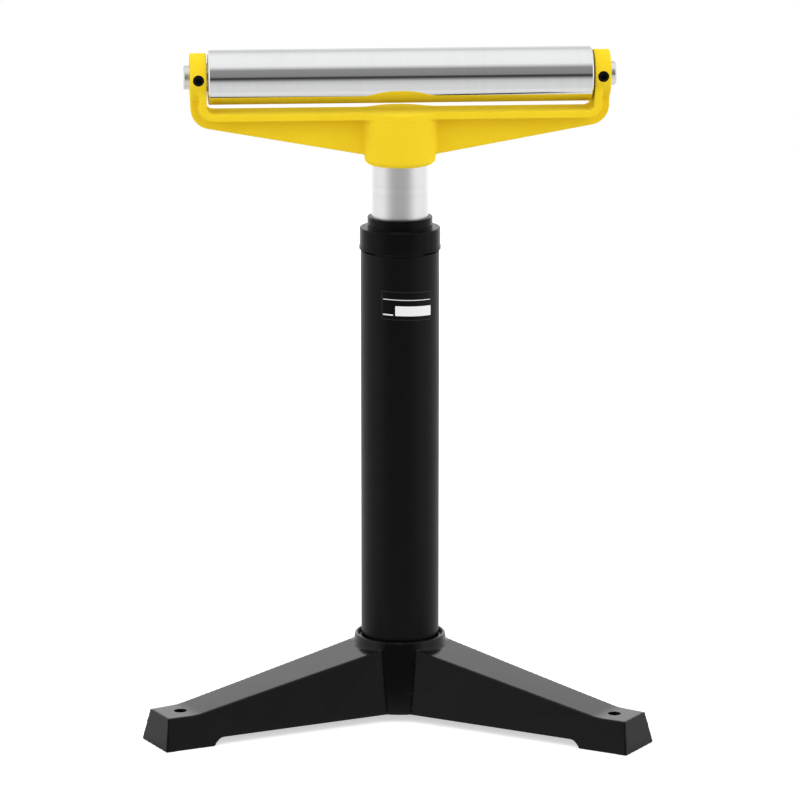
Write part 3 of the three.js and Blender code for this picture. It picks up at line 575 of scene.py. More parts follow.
class Effects:
    """Builds each shared effect once and hands out its node group.

    Scales are shares of the scale that an effect is given, and a stretch is the part of a
    noise that is spread from 0 to 1.
    """

    PIT_SCALE = 0.45
    PIT_DEPTH = 0.45
    PIT_SHARE = 0.35
    MOTTLE_SCALE = 0.06
    MOTTLE_STRETCH = (0.3, 0.7)
    LINE_SCALE, LINE_DETAIL = 1.0, 4.0
    STREAK_SCALE, STREAK_DETAIL = 0.12, 2.0
    LINE_STRETCH = (0.25, 0.75)
    EDGE_START = 0.52
    EDGE_END, EDGE_REACH = 0.62, 0.08
    WEAR_STRETCH = (0.42, 0.62)
    DUST_SLOPE = (0.6, 1.0)
    DUST_DETAIL, DUST_STRETCH = 6.0, (0.3, 0.75)
    HAZE_DETAIL, HAZE_STRETCH = 5.0, (0.35, 0.7)

    def __init__(self) -> None:
        """Builds the node groups."""
        self.groups = {
            Effect.CAST_SKIN: self._cast_skin(),
            Effect.TURNED_GRAIN: self._turned_grain(),
            Effect.EDGE_WEAR: self._edge_wear(),
            Effect.SETTLED_DUST: self._settled_dust(),
            Effect.HANDLING_HAZE: self._handling_haze(),
            Effect.PRINTED_BLOCK: self._printed_block(),
        }

    def place(self, graph: Graph, effect: Effect, **values: Any) -> bpy.types.Node:
        """Puts an effect into a material.

        Args:
            graph: The material's nodes.
            effect: Which effect.
            values: Its inputs by name, with underscores for spaces.

        Returns:
            The group's node.
        """
        node = graph.add("ShaderNodeGroup", node_tree=self.groups[effect])
        for name, value in values.items():
            node.inputs[name.replace("_", " ").title()].default_value = value
        return node

    def gloss(self, graph: Graph, scale: float, roughness: float, reach: Point) -> bpy.types.NodeSocket:
        """Varies a roughness by the marks of handling.

        Args:
            graph: The material's nodes.
            scale: Scale of the marks.
            roughness: The roughness to vary.
            reach: The least and the greatest share of it.

        Returns:
            The roughness's socket.
        """
        haze = self.place(graph, Effect.HANDLING_HAZE, scale=scale).outputs["Haze"]
        return graph.spread(haze, 0.0, 1.0, roughness * reach[0], roughness * reach[1])

    @staticmethod
    def _open(effect: Effect, inputs: dict[str, str], outputs: Sequence[str]) -> tuple[Graph, Any, Any]:
        """Starts a node group.

        Args:
            effect: The effect that the group is for.
            inputs: The kind of each named input.
            outputs: Names of the values it gives.

        Returns:
            The group's nodes, its input node and its output node.
        """
        tree = bpy.data.node_groups.new(effect.value, "ShaderNodeTree")
        for name, kind in inputs.items():
            tree.interface.new_socket(name, in_out="INPUT", socket_type=f"NodeSocket{kind}")
        for name in outputs:
            tree.interface.new_socket(name, in_out="OUTPUT", socket_type="NodeSocketFloat")
        graph = Graph(tree)
        return graph, graph.add("NodeGroupInput"), graph.add("NodeGroupOutput")

    def _cast_skin(self) -> bpy.types.NodeTree:
        """The fine pebble of paint over sand-cast metal, with a broad mottle."""
        graph, given, result = self._open(Effect.CAST_SKIN, {"Grain": "Float"}, ["Height", "Mottle"])
        grain = given.outputs["Grain"]
        where = graph.add("ShaderNodeTexCoord").outputs["Object"]
        sockets = {"Vector": where, "Scale": graph.math("MULTIPLY", grain, self.PIT_SCALE)}
        pits = graph.add("ShaderNodeTexVoronoi", sockets).outputs["Distance"]
        shallow = graph.math("MULTIPLY", graph.spread(pits, 0.0, self.PIT_DEPTH), self.PIT_SHARE)
        height = graph.math("MULTIPLY_ADD", graph.noise(grain), 1 - self.PIT_SHARE, shallow)
        broad = graph.noise(graph.math("MULTIPLY", grain, self.MOTTLE_SCALE))
        graph.tree.links.new(height, result.inputs["Height"])
        graph.tree.links.new(graph.spread(broad, *self.MOTTLE_STRETCH), result.inputs["Mottle"])
        return graph.tree

    def _turned_grain(self) -> bpy.types.NodeTree:
        """Fine tool lines round an axis, as turning or grinding leaves them."""
        inputs = {"Axis": "Vector", "Lines": "Float"}
        graph, given, result = self._open(Effect.TURNED_GRAIN, inputs, ["Height", "Streak"])
        where = graph.add("ShaderNodeTexCoord").outputs["Object"]
        sockets = {0: where, 1: given.outputs["Axis"]}
        along = graph.add("ShaderNodeVectorMath", sockets, operation="DOT_PRODUCT").outputs["Value"]
        lines = ("Height", self.LINE_SCALE, self.LINE_DETAIL)
        streaks = ("Streak", self.STREAK_SCALE, self.STREAK_DETAIL)
        for name, share, detail in (lines, streaks):
            scale = graph.math("MULTIPLY", given.outputs["Lines"], share)
            sockets = {"W": along, "Scale": scale, "Detail": detail}
            noise = graph.add("ShaderNodeTexNoise", sockets, noise_dimensions="1D").outputs[0]
            graph.tree.links.new(graph.spread(noise, *self.LINE_STRETCH), result.inputs[name])
        return graph.tree

    def _edge_wear(self) -> bpy.types.NodeTree:
        """Where convex edges turn paler, broken up by noise: partly paint rubbed thin, partly a painted highlight
        along the edges.
        """
        inputs = dict.fromkeys(("Reach", "Breakup"), "Float")
        graph, given, result = self._open(Effect.EDGE_WEAR, inputs, ["Mask"])
        # Convexity picks the edges that get the paler colour, partly as rubbed paint and partly as a painted
        # highlight.
        edge = graph.add("ShaderNodeNewGeometry").outputs["Pointiness"]
        nearer = graph.math("MULTIPLY", given.outputs["Reach"], self.EDGE_REACH)
        convex = graph.spread(edge, self.EDGE_START, graph.math("SUBTRACT", self.EDGE_END, nearer))
        patches = graph.spread(graph.noise(given.outputs["Breakup"]), *self.WEAR_STRETCH)
        graph.tree.links.new(graph.math("MULTIPLY", convex, patches), result.inputs["Mask"])
        return graph.tree

    def _settled_dust(self) -> bpy.types.NodeTree:
        """A thin film of dust on faces that look up."""
        inputs = dict.fromkeys(("Amount", "Scale"), "Float")
        graph, given, result = self._open(Effect.SETTLED_DUST, inputs, ["Mask"])
        normal = graph.add("ShaderNodeNewGeometry").outputs["Normal"]
        up = graph.add("ShaderNodeSeparateXYZ", {0: normal}).outputs["Z"]
        flat = graph.spread(up, *self.DUST_SLOPE)
        cloud = graph.spread(graph.noise(given.outputs["Scale"], self.DUST_DETAIL), *self.DUST_STRETCH)
        film = graph.math("MULTIPLY", graph.math("MULTIPLY", flat, cloud), given.outputs["Amount"])
        graph.tree.links.new(film, result.inputs["Mask"])
        return graph.tree

    def _handling_haze(self) -> bpy.types.NodeTree:
        """Soft patches where hands and cleaning have changed the gloss."""
        graph, given, result = self._open(Effect.HANDLING_HAZE, {"Scale": "Float"}, ["Haze"])
        patches = graph.noise(given.outputs["Scale"], self.HAZE_DETAIL)
        graph.tree.links.new(graph.spread(patches, *self.HAZE_STRETCH), result.inputs["Haze"])
        return graph.tree

    def _printed_block(self) -> bpy.types.NodeTree:
        """A printed rectangle on a sheet, in shares of its width and height."""
        above, below = "GREATER_THAN", "LESS_THAN"
        edges = {"Left": ("X", above), "Right": ("X", below), "Bottom": ("Y", above), "Top": ("Y", below)}
        graph, given, result = self._open(Effect.PRINTED_BLOCK, dict.fromkeys(edges, "Float"), ["Mask"])
        sheet = graph.add("ShaderNodeTexCoord").outputs["UV"]
        shares = graph.add("ShaderNodeSeparateXYZ", {0: sheet})
        mask: Any = 1.0
        for edge, (axis, test) in edges.items():
            inside = graph.math(test, shares.outputs[axis], given.outputs[edge])
            mask = graph.math("MULTIPLY", mask, inside)
        graph.tree.links.new(mask, result.inputs["Mask"])
        return graph.tree


class Finish:
    """A finish of the stand, which is one principled shader."""

    def material(self, name: str, effects: Effects) -> bpy.types.Material:
        """Makes the finish's material.

        Args:
            name: Name of the material.
            effects: The shared effects.

        Returns:
            The material.
        """
        material = bpy.data.materials.new(name)
        material.use_nodes = True
        graph = Graph(material.node_tree)
        shader = graph.add("ShaderNodeBsdfPrincipled", self.sockets(graph, effects))
        graph.add("ShaderNodeOutputMaterial", {"Surface": shader.outputs[0]})
        return material

    def sockets(self, graph: Graph, effects: Effects) -> dict[str | int, Any]:
        """Works out the inputs of the shader.

        Args:
            graph: The material's nodes.
            effects: The shared effects.

        Returns:
            A value or the output of another node for each input.
        """
        raise NotImplementedError


@dataclass(frozen=True)
class Paint(Finish):
    """A coat of paint or enamel, black unless told, whose pebble follows the metal under it."""

    roughness: float
    specular: float
    grain: float
    relief: float
    colour: Colour = (0.003, 0.003, 0.0031, 1)
    shade: Colour = (0.0024, 0.0024, 0.0025, 1)
    # Colour and share of the convex edges: partly rubbed paint, partly a painted highlight.
    worn: Colour = (0.016, 0.016, 0.0165, 1)
    wear: float = 0.5
    wear_breakup: float = 260.0
    dust: float = 0.02
    dust_scale: float = 38.0
    dust_colour: Colour = (0.42, 0.40, 0.37, 1)
    dust_roughness: float = 0.35
    haze: float = 22.0
    gloss_reach: Point = (0.9, 1.12)
    sheen: float = 0.0
    sheen_colour: Colour = (1.0, 0.80, 0.06, 1)
    sheen_roughness: float = 0.65

    def sockets(self, graph: Graph, effects: Effects) -> dict[str | int, Any]:
        """Gives the inputs of a mottled coat, paler along its edges as rubbed paint and a painted highlight, and
        dusty where it looks up.
        """
        skin = effects.place(graph, Effect.CAST_SKIN, grain=self.grain)
        wear = effects.place(graph, Effect.EDGE_WEAR, reach=self.wear, breakup=self.wear_breakup)
        dust = effects.place(graph, Effect.SETTLED_DUST, amount=self.dust, scale=self.dust_scale)
        film = dust.outputs["Mask"]
        coat = graph.blend(skin.outputs["Mottle"], self.shade, self.colour)
        # Convex edges are mixed towards a paler colour: partly rubbed paint, partly a painted highlight.
        coat = graph.blend(graph.math("MULTIPLY", wear.outputs["Mask"], self.wear), coat, self.worn)
        gloss = effects.gloss(graph, self.haze, self.roughness, self.gloss_reach)
        return {
            "Base Color": graph.blend(film, coat, self.dust_colour),
            "Roughness": graph.math("MULTIPLY_ADD", film, self.dust_roughness, gloss),
            "Normal": graph.bump(skin.outputs["Height"], self.relief),
            "Specular IOR Level": self.specular,
            "Sheen Weight": self.sheen,
            "Sheen Tint": self.sheen_colour,
            "Sheen Roughness": self.sheen_roughness,
        }


@dataclass(frozen=True)
class Metal(Finish):
    """Bare or plated metal with the lines of the tool that finished it."""

    colour: Colour
    shade: Colour
    roughness: float
    spread: float
    axis: Direction
    lines: float
    relief: float = 0.01 * MM
    haze: float = 30.0
    edge_tint: Colour = (0.74, 0.745, 0.75, 1)

    def sockets(self, graph: Graph, effects: Effects) -> dict[str | int, Any]:
        """Gives the inputs of a bright metal, streaked by its tool lines and dulled by handling."""
        grain = effects.place(graph, Effect.TURNED_GRAIN, axis=self.axis, lines=self.lines)
        haze = effects.place(graph, Effect.HANDLING_HAZE, scale=self.haze).outputs["Haze"]
        streak = grain.outputs["Streak"]
        dull = graph.spread(streak, 0.0, 1.0, self.roughness, self.roughness + self.spread)
        return {
            "Base Color": graph.blend(graph.math("MULTIPLY", streak, haze), self.colour, self.shade),
            "Roughness": graph.math("MULTIPLY_ADD", haze, self.spread, dull),
            "Normal": graph.bump(grain.outputs["Height"], self.relief),
            "Metallic": 1.0,
            "Specular Tint": self.edge_tint,
        }


@dataclass(frozen=True)
class Moulding(Finish):
    """A moulded plastic with a faint texture and handling marks."""

    colour: Colour
    shade: Colour
    roughness: float
    grain: float
    relief: float
    haze: float = 60.0
    gloss_reach: Point = (0.85, 1.25)

    def sockets(self, graph: Graph, effects: Effects) -> dict[str | int, Any]:
        """Gives the inputs of a faintly mottled plastic."""
        skin = effects.place(graph, Effect.CAST_SKIN, grain=self.grain)
        return {
            "Base Color": graph.blend(skin.outputs["Mottle"], self.colour, self.shade),
            "Roughness": effects.gloss(graph, self.haze, self.roughness, self.gloss_reach),
            "Normal": graph.bump(skin.outputs["Height"], self.relief),
        }


@dataclass(frozen=True)
class Block:
    """A printed rectangle of the label, in shares of the label's width and height."""

    left: float
    right: float
    bottom: float
    top: float


@dataclass(frozen=True)
class Foil(Finish):
    """The printed foil of the blank rating label."""

    ground: Colour = (0.0022, 0.0022, 0.0024, 1)
    ink: Colour = (0.86, 0.86, 0.86, 1)
    faint_ink: Colour = (0.02, 0.02, 0.02, 1)
    roughness: float = 0.34
    specular: float = 0.13
    haze: float = 90.0
    gloss_reach: Point = (0.85, 1.2)
    panel: Block = Block(0.262, 0.985, 0.155, 0.50)
    rules: tuple[Block, ...] = (Block(0.03, 0.97, 0.70, 0.725), Block(0.03, 0.22, 0.155, 0.20))
    frame_rules: tuple[Block, ...] = (
        Block(0.0, 1.0, 0.0, 0.03),
        Block(0.0, 1.0, 0.97, 1.0),
        Block(0.0, 0.018, 0.0, 1.0),
        Block(0.982, 1.0, 0.0, 1.0),
    )

    def sockets(self, graph: Graph, effects: Effects) -> dict[str | int, Any]:
        """Gives the inputs of a dark ground with a faint frame, plain rules and a white field."""
        framed = graph.blend(self._print(graph, effects, self.frame_rules), self.ground, self.faint_ink)
        printed = self._print(graph, effects, (self.panel, *self.rules))
        return {
            "Base Color": graph.blend(printed, framed, self.ink),
            "Roughness": effects.gloss(graph, self.haze, self.roughness, self.gloss_reach),
            "Specular IOR Level": self.specular,
        }

    @staticmethod
    def _print(graph: Graph, effects: Effects, blocks: Sequence[Block]) -> bpy.types.NodeSocket:
        """Joins printed blocks in one mask.

        Args:
            graph: The material's nodes.
            effects: The shared effects.
            blocks: The blocks.

        Returns:
            The mask's socket.
        """
        mask: Any = 0.0
        for block in blocks:
            printed = effects.place(graph, Effect.PRINTED_BLOCK, **vars(block))
            mask = graph.math("MAXIMUM", mask, printed.outputs["Mask"])
        return mask


class Palette:
    """The stand's finishes, made once, and the way that a form is shown with one."""

    def __init__(self, roller_axis: Direction) -> None:
        """Makes the materials.

        Args:
            roller_axis: Direction of the roller, which its tool lines run round.
        """
        finishes: dict[Coat, Finish] = {
            Coat.CAST_BLACK: Paint(
                shade=(0.0023, 0.0023, 0.0024, 1),
                roughness=0.15, specular=0.22, grain=620.0, relief=0.03 * MM,
            ),
            Coat.TUBE_BLACK: Paint(
                worn=(0.014, 0.014, 0.0145, 1), roughness=0.34, specular=0.13, grain=900.0, relief=0.08 * MM
            ),
            Coat.COLLAR_BLACK: Paint(roughness=0.26, specular=0.10, grain=820.0, relief=0.1 * MM),
            # The yellow's pale edge colour is partly rubbed enamel and partly a painted highlight on its rounded
            # edges.
            Coat.YELLOW: Paint(
                colour=(0.93, 0.665, 0.022, 1), shade=(0.91, 0.635, 0.019, 1), worn=(0.95, 0.74, 0.07, 1),
                roughness=0.46, specular=0.0, grain=520.0, relief=0.25 * MM, dust=0.0, sheen=1.0,
            ),
            Coat.POST_STEEL: Metal(
                colour=(0.91, 0.91, 0.915, 1), shade=(0.86, 0.865, 0.87, 1),
                roughness=0.38, spread=0.03, axis=UPRIGHT, lines=1500.0,
            ),
            Coat.CHROME: Metal(
                colour=(0.90, 0.905, 0.91, 1), shade=(0.84, 0.845, 0.85, 1),
                roughness=0.045, spread=0.025, axis=roller_axis, lines=900.0, relief=0.0012 * MM, haze=14.0,
            ),
            Coat.BRIGHT_STEEL: Metal(
                colour=(0.86, 0.855, 0.84, 1), shade=(0.72, 0.715, 0.70, 1),
                roughness=0.22, spread=0.06, axis=roller_axis, lines=2600.0, relief=0.008 * MM,
            ),
            Coat.BEARING_STEEL: Metal(
                colour=(0.60, 0.605, 0.61, 1), shade=(0.46, 0.465, 0.47, 1),
                roughness=0.16, spread=0.05, axis=roller_axis, lines=3000.0, relief=0.004 * MM,
            ),
            Coat.BLACK_OXIDE: Metal(
                colour=(0.020, 0.020, 0.022, 1), shade=(0.045, 0.043, 0.042, 1),
                roughness=0.38, spread=0.08, axis=UPRIGHT, lines=1800.0,
            ),
            Coat.CAGE_BRASS: Metal(
                colour=(0.46, 0.30, 0.085, 1), shade=(0.34, 0.21, 0.06, 1),
                roughness=0.32, spread=0.08, axis=roller_axis, lines=1400.0,
            ),
            Coat.PAD_BRASS: Metal(
                colour=(0.50, 0.33, 0.10, 1), shade=(0.38, 0.24, 0.07, 1),
                roughness=0.36, spread=0.08, axis=ACROSS, lines=1400.0,
            ),
            Coat.NYLON: Moulding(
                colour=(0.76, 0.73, 0.64, 1), shade=(0.68, 0.65, 0.57, 1),
                roughness=0.55, grain=500.0, relief=0.04 * MM,
            ),
            Coat.KNOB_PLASTIC: Moulding(
                colour=(0.0085, 0.0085, 0.009, 1), shade=(0.013, 0.013, 0.0135, 1),
                roughness=0.24, grain=420.0, relief=0.02 * MM,
            ),
        }
        effects = Effects()
        self.materials = {coat: finish.material(coat.value, effects) for coat, finish in finishes.items()}
        self.foil = Foil().material("blank_label_foil", effects)

    def show(self, form: Form, coat: Coat, node: str) -> None:
        """Finishes a form and lets it stand for a node of the solids.

        Args:
            form: The finished mesh, in the frame of the solids.
            coat: Its finish.
            node: The node that it replaces.
        """
        piece = form.shaded()
        piece.data.materials.clear()
        piece.data.materials.append(self.materials[coat])
        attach(piece, BODY_OF[node])
        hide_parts(node)
        LOG.info("%s stands for %s on %s", piece.name, node, BODY_OF[node])

    def coat_solids(self) -> None:
        """Gives each node of the solids that still shows the material of its slot."""
        for part in frame["record"]["subparts"]:
            materials = frame["nodes"][part["node"]].data.materials
            materials.clear()
            materials.append(self.materials[Coat(part["material_slot"])])


@dataclass
class Tripod:
    """The cast base: three hollow legs, the hub between them and the cup of the column."""

    place: Place
    column_radius: float
    legs: int = 3
    sole_reach: float = 260 * MM
    sole_length: float = 49 * MM
    sole_step: float = 11 * MM
    sole_step_foot: float = 4 * MM
    underside: float = 7 * MM
    foot_width: float = 52.6 * MM
    foot_height: float = 29.9 * MM
    foot_end_draft: float = 5.5 * MM
    foot_flat: float = 29.3 * MM
    hollow_edge: float = 3 * MM
    leg_slope: float = math.radians(11.2)
    leg_blend: float = 60 * MM
    leg_taper: float = 0.0563
    foot_draft: float = 0.239
    hub_draft: float = 0.155
    leg_stations: int = 12
    leg_wall: float = 7 * MM
    leg_roof: float = 7.5 * MM
    bolt_hole: float = 12 * MM
    bolt_setback: float = 27.3 * MM
    hub_foot: float = 51.2 * MM
    cup_radius: float = 42.8 * MM
    cup_top: float = 75.2 * MM
    cup_wall: float = 2.3 * MM
    cup_fillet: float = 4 * MM
    cup_floor: float = 71 * MM
    column_play: float = 2 * MM
    hub_wall: float = 9 * MM
    hub_roof: float = 12 * MM
    hub_mouth: float = 19 * MM
    bolt_bore: float = 8.2 * MM
    grain: float = 1.05 * MM
    relaxing: int = 2
    kept: float = 0.4

    def half_width(self, reach: float, height: float) -> float:
        """Half the width of a leg at a reach from the column and a height above the floor."""
        share = reach / self.sole_reach
        draft = self.hub_draft + (self.foot_draft - self.hub_draft) * share
        return self.foot_width / 2 + self.leg_taper * (self.sole_reach - reach) - draft * height

    @property
    def foot_end(self) -> float:
        """Reach of the upper end of the foot."""
        return self.sole_reach - self.foot_end_draft

    @property
    def flat_start(self) -> float:
        """Reach where the slope of the leg meets the flat of the foot."""
        return self.foot_end - self.foot_flat

    @property
    def roof_foot(self) -> float:
        """Height of the ceiling of the hollow under the hub."""
        return self.cup_floor - self.hub_roof

    def top_at(self, reach: float) -> float:
        """Height of the top of a leg at a reach."""
        return self.foot_height + math.tan(self.leg_slope) * (self.flat_start - reach)

    def leg(self) -> Form:
        """Builds one leg along +X with its foot, its step behind the sole and its cup fillet."""
        root = self.column_radius / 2
        sole_start = self.sole_reach - self.sole_length
        step_start = sole_start - self.sole_step
        run = self.leg_blend * math.tan(self.leg_slope / 2)
        step_foot = sole_start - self.sole_step_foot
        step = bend((step_start, self.underside), (step_foot, self.underside), (sole_start, 0))
        slope_start = self.flat_start - run
        knee = bend(
            (self.flat_start + run, self.foot_height),
            (self.flat_start, self.foot_height),
            (slope_start, self.top_at(slope_start)),
        )
        shares = [i / self.leg_stations for i in range(self.leg_stations)]
        under = [(root + (step_start - root) * share, self.underside) for share in shares]
        back = [slope_start + (root - slope_start) * (share + 1 / self.leg_stations) for share in shares]
        side = [*under, *step, (self.sole_reach, 0), (self.foot_end, self.foot_height)]
        side += [*knee, *((reach, self.top_at(reach)) for reach in back)]
        leg = Form.drafted("leg", side, self.half_width)
        leg.cut(self._leg_hollow(step_start), self._hub_hollow())
        return leg.joined(self._cup_fillet(root).cut(self._hub_hollow()))

    def _leg_hollow(self, step_start: float) -> Form:
        """The open channel under a leg.

        Args:
            step_start: Reach where the step behind the sole begins.

        Returns:
            The cutter.
        """
        first = self.hub_foot + self.leg_wall
        last = step_start - self.leg_wall
        side = rounded([
            (first, self.underside - CUT, 0),
            (last, self.underside - CUT, 0),
            (last, self.top_at(last) - self.leg_roof, self.hollow_edge),
            (first, self.top_at(first) - self.leg_roof, self.hollow_edge),
        ])
        return Form.drafted("leg_hollow", side, lambda x, z: self.half_width(x, z) - self.leg_wall)

    def _hub_hollow(self) -> Form:
        """The round hollow under the hub, where the bolt head sits."""
        low = self.underside - CUT
        mouth = self.hub_foot - self.hub_wall
        profile = [(0, low), (mouth, low), (self.hub_mouth, self.roof_foot), (0, self.roof_foot)]
        return Form.turned("hub_hollow", profile)

    def _cup_fillet(self, root: float) -> Form:
        """The cove that blends the cup into the top of a leg.

        Args:
            root: Reach where the leg begins.

        Returns:
            The fillet.
        """
        edge = self.cup_radius + self.cup_fillet
        top = self.top_at(edge) + self.cup_fillet
        cove = arc((edge, top), self.cup_fillet, 270, 180)
        profile = [(0, self.roof_foot), (edge, self.roof_foot), *cove, (0, top)]
        end = edge + self.cup_fillet
        side = [(root, self.roof_foot), (end, self.roof_foot), (end, self.cup_top), (root, self.cup_top)]
        return Form.turned("cup_fillet", profile).within(Form.drafted("over_leg", side, self.half_width))

    def hub(self) -> Form:
        """Builds the drafted hub between the legs, which the cup of the column is cut from."""
        profile = [(0, self.underside), (self.hub_foot, self.underside)]
        profile += [(self.cup_radius, self.cup_top), (0, self.cup_top)]
        return Form.turned("tripod_casting", profile).cut(self._hub_hollow())

    def build(self) -> None:
        """Casts the base in one skin, then bores its cup and its bolt holes."""
        headings = [math.pi / 2 + 2 * math.pi * i / self.legs for i in range(self.legs)]
        legs = [self.leg().spun(heading) for heading in headings]
        casting = self.hub().joined(*legs).fused(self.grain, self.relaxing, self.kept)
        mouth = self.cup_radius - self.cup_wall
        above = self.cup_top + CUT
        floor = [(0, self.cup_floor), (self.column_radius + self.column_play, self.cup_floor)]
        casting.cut(Form.turned("recess", [*floor, (mouth, self.cup_top), (mouth, above), (0, above)]))
        casting.cut(Form.rod("bolt_bore", self.bolt_bore, self.roof_foot - CUT, self.cup_top))
        for heading in headings:
            hole = Form.rod("bolt_hole", self.bolt_hole / 2, -CUT, self.foot_height + CUT)
            casting.cut(hole.lifted(x=self.sole_reach - self.bolt_setback).spun(heading))
        self.casting = casting.moved(self.place.matrix)

    def dress(self, palette: Palette) -> None:
        """Shows the casting in black cast paint."""
        palette.show(self.casting, Coat.CAST_BLACK, "base_casting")


@dataclass
class Column:
    """The black tube with its clamping collar, its blank label and the bolt under it."""

    place: Place
    wall: float = 3 * MM
    tube_edge: float = 0.5 * MM
    tube_rings: int = 90
    collar_radius: float = 37.7 * MM
    collar_bead: float = 0.4 * MM
    bead_height: float = 3 * MM
    bead_round: float = 0.35 * MM
    relief: float = 1.6 * MM
    seat_width: float = 44 * MM
    collar_height: float = 20.2 * MM
    collar_edge: float = 1 * MM
    collar_steps: int = 5
    spigot: float = 45 * MM
    fit: float = 0.2 * MM
    bore_gap: float = 0.3 * MM
    neck_radius: float = 30.4 * MM
    neck_edge: float = 0.8 * MM
    neck_cove: float = 0.8 * MM
    screw_hole: float = 6.3 * MM
    label_low: float = 384 * MM
    label_high: float = 411 * MM
    label_start: float = -26.4
    label_end: float = 52.9
    label_thickness: float = 0.12 * MM
    label_slant: float = 2.2 * MM
    label_steps: int = 40
    bolt_radius: float = 8 * MM
    bolt_pitch: float = 2 * MM
    bolt_thread: float = 1.1 * MM
    head_height: float = 10 * MM
    head_corners: float = 27.7 * MM
    head_chamfer: float = 1.2 * MM
    washer_bore: float = 8.2 * MM
    washer_edge: float = 0.4 * MM

    def build(self) -> None:
        """Builds the tube, the collar, the label, the bolt and its washer."""
        low, high = self.place.span("outer_column")
        self.radius = high.x
        inside = self.radius - self.wall
        rise = (high.z - low.z) / self.tube_rings
        rings = [(self.radius, low.z + rise * i, 0) for i in range(1, self.tube_rings)]
        tube = [(inside, low.z, self.tube_edge), (self.radius, low.z, self.tube_edge), *rings]
        tube += [(self.radius, high.z, self.tube_edge), (inside, high.z, self.tube_edge)]
        self.tube = Form.turned("column_tube", rounded(tube, EDGE_STEPS)).moved(self.place.matrix)
        self.collar = self._collar(inside - self.fit).moved(self.place.matrix)
        self.label = self._label().moved(self.place.matrix)
        self.bolt = self._bolt().moved(self.place.matrix)
        self.washer = self._washer().moved(self.place.matrix)

    def _collar(self, spigot_radius: float) -> Form:
        """The collar: spigot, flange with a bead and two reliefs, neck and screw hole.

        Args:
            spigot_radius: Radius of the part inside the tube.

        Returns:
            The collar, on the column axis.
        """
        low, high = self.place.span("column_collar")
        bore = self.place.span("inner_post")[1].x + self.bore_gap
        seat = low.z + self.spigot
        foot = seat + self.relief
        shoulder = foot + self.collar_height
        bead = self.collar_radius + self.collar_bead
        collar = Form.turned("clamping_collar", rounded([
            (bore, low.z, self.neck_edge),
            (spigot_radius, low.z, self.neck_edge),
            (spigot_radius, seat, 0),
            (self.collar_radius, seat, 0),
            (bead, foot, self.bead_round),
            (bead, foot + self.bead_height, self.bead_round),
            (self.collar_radius, foot + self.bead_height, 0),
            (self.collar_radius, shoulder, self.collar_edge),
            (self.neck_radius, shoulder, self.neck_cove),
            (self.neck_radius, high.z, self.neck_edge),
            (bore, high.z, self.neck_edge),
        ], self.collar_steps))
        out = bead + CUT
        ring = [(spigot_radius, seat - CUT), (out, seat - CUT), (out, foot), (spigot_radius, foot)]
        half = self.seat_width / 2
        band = Form.slab("seat_band", (-half, -out, seat - 2 * CUT), (half, out, foot + CUT))
        collar.cut(Form.turned("relief", ring).cut(band))
        hole = Form.rod("screw_hole", self.screw_hole, 0, out).along_y()
        return collar.cut(hole.lifted(z=self.place.middle("lock_screw").z))

    def _across(self, point: Vector) -> float:
        """The share of the label's width at which a point of it lies."""
        angle = math.degrees(math.atan2(point.x, -point.y))
        return (angle - self.label_start) / (self.label_end - self.label_start)

    def _label(self) -> Form:
        """The blank label, a thin slanting sheet bent round the front of the tube."""
        near = self.radius + self.label_thickness / 4
        far = near + self.label_thickness
        start, end = self.label_start - 90, self.label_end - 90
        outline = arc((0, 0), far, start, end, self.label_steps)
        outline += arc((0, 0), near, end, start, self.label_steps)
        label = Form.extruded("blank_label", outline, self.label_low, self.label_high)
        mesh = label.thing.data
        sheet = mesh.uv_layers.new(name="sheet")
        for loop in mesh.loops:
            point = mesh.vertices[loop.vertex_index].co
            up = (point.z - self.label_low) / (self.label_high - self.label_low)
            sheet.data[loop.index].uv = (self._across(point), up)
        for vertex in mesh.vertices:
            vertex.co.z -= self.label_slant * (self._across(vertex.co) - 0.5)
        return label

    def _bolt(self) -> Form:
        """The hexagon bolt that draws the column down, head under the base."""
        low, high = self.place.span("base_bolt")
        shoulder = low.z + self.head_height
        radius = self.head_corners / 2
        inner = radius - self.head_chamfer
        head = Form.extruded("hexagon_bolt", hexagon(radius), low.z, shoulder)
        cone = [(0, low.z - CUT), (inner - 2 * CUT, low.z - CUT), (inner, low.z)]
        cone += [(radius + CUT, low.z + self.head_chamfer + CUT), (radius + CUT, shoulder + CUT)]
        head.within(Form.turned("chamfer_cone", [*cone, (0, shoulder + CUT)]))
        start = shoulder - self.head_height / 2
        thread = Form.threaded("thread", self.bolt_radius, self.bolt_pitch, self.bolt_thread, high.z - start)
        return head.joined(thread.lifted(z=start))

    def _washer(self) -> Form:
        """The washer between the bolt head and the base."""
        low, high = self.place.span("base_washer")
        return Form.ring("bolt_washer", self.washer_bore, high.x, low.z, high.z, self.washer_edge)

    def dress(self, palette: Palette) -> None:
        """Shows the tube and the collar in black paint, the bolt in steel and the label in foil."""
        palette.show(self.tube, Coat.TUBE_BLACK, "outer_column")
        palette.show(self.collar, Coat.COLLAR_BLACK, "column_collar")
        palette.show(self.bolt, Coat.BRIGHT_STEEL, "base_bolt")
        palette.show(self.washer, Coat.BRIGHT_STEEL, "base_washer")
        label = self.label.shaded()
        label.data.materials.append(palette.foil)
        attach(label, BODY_OF["outer_column"])


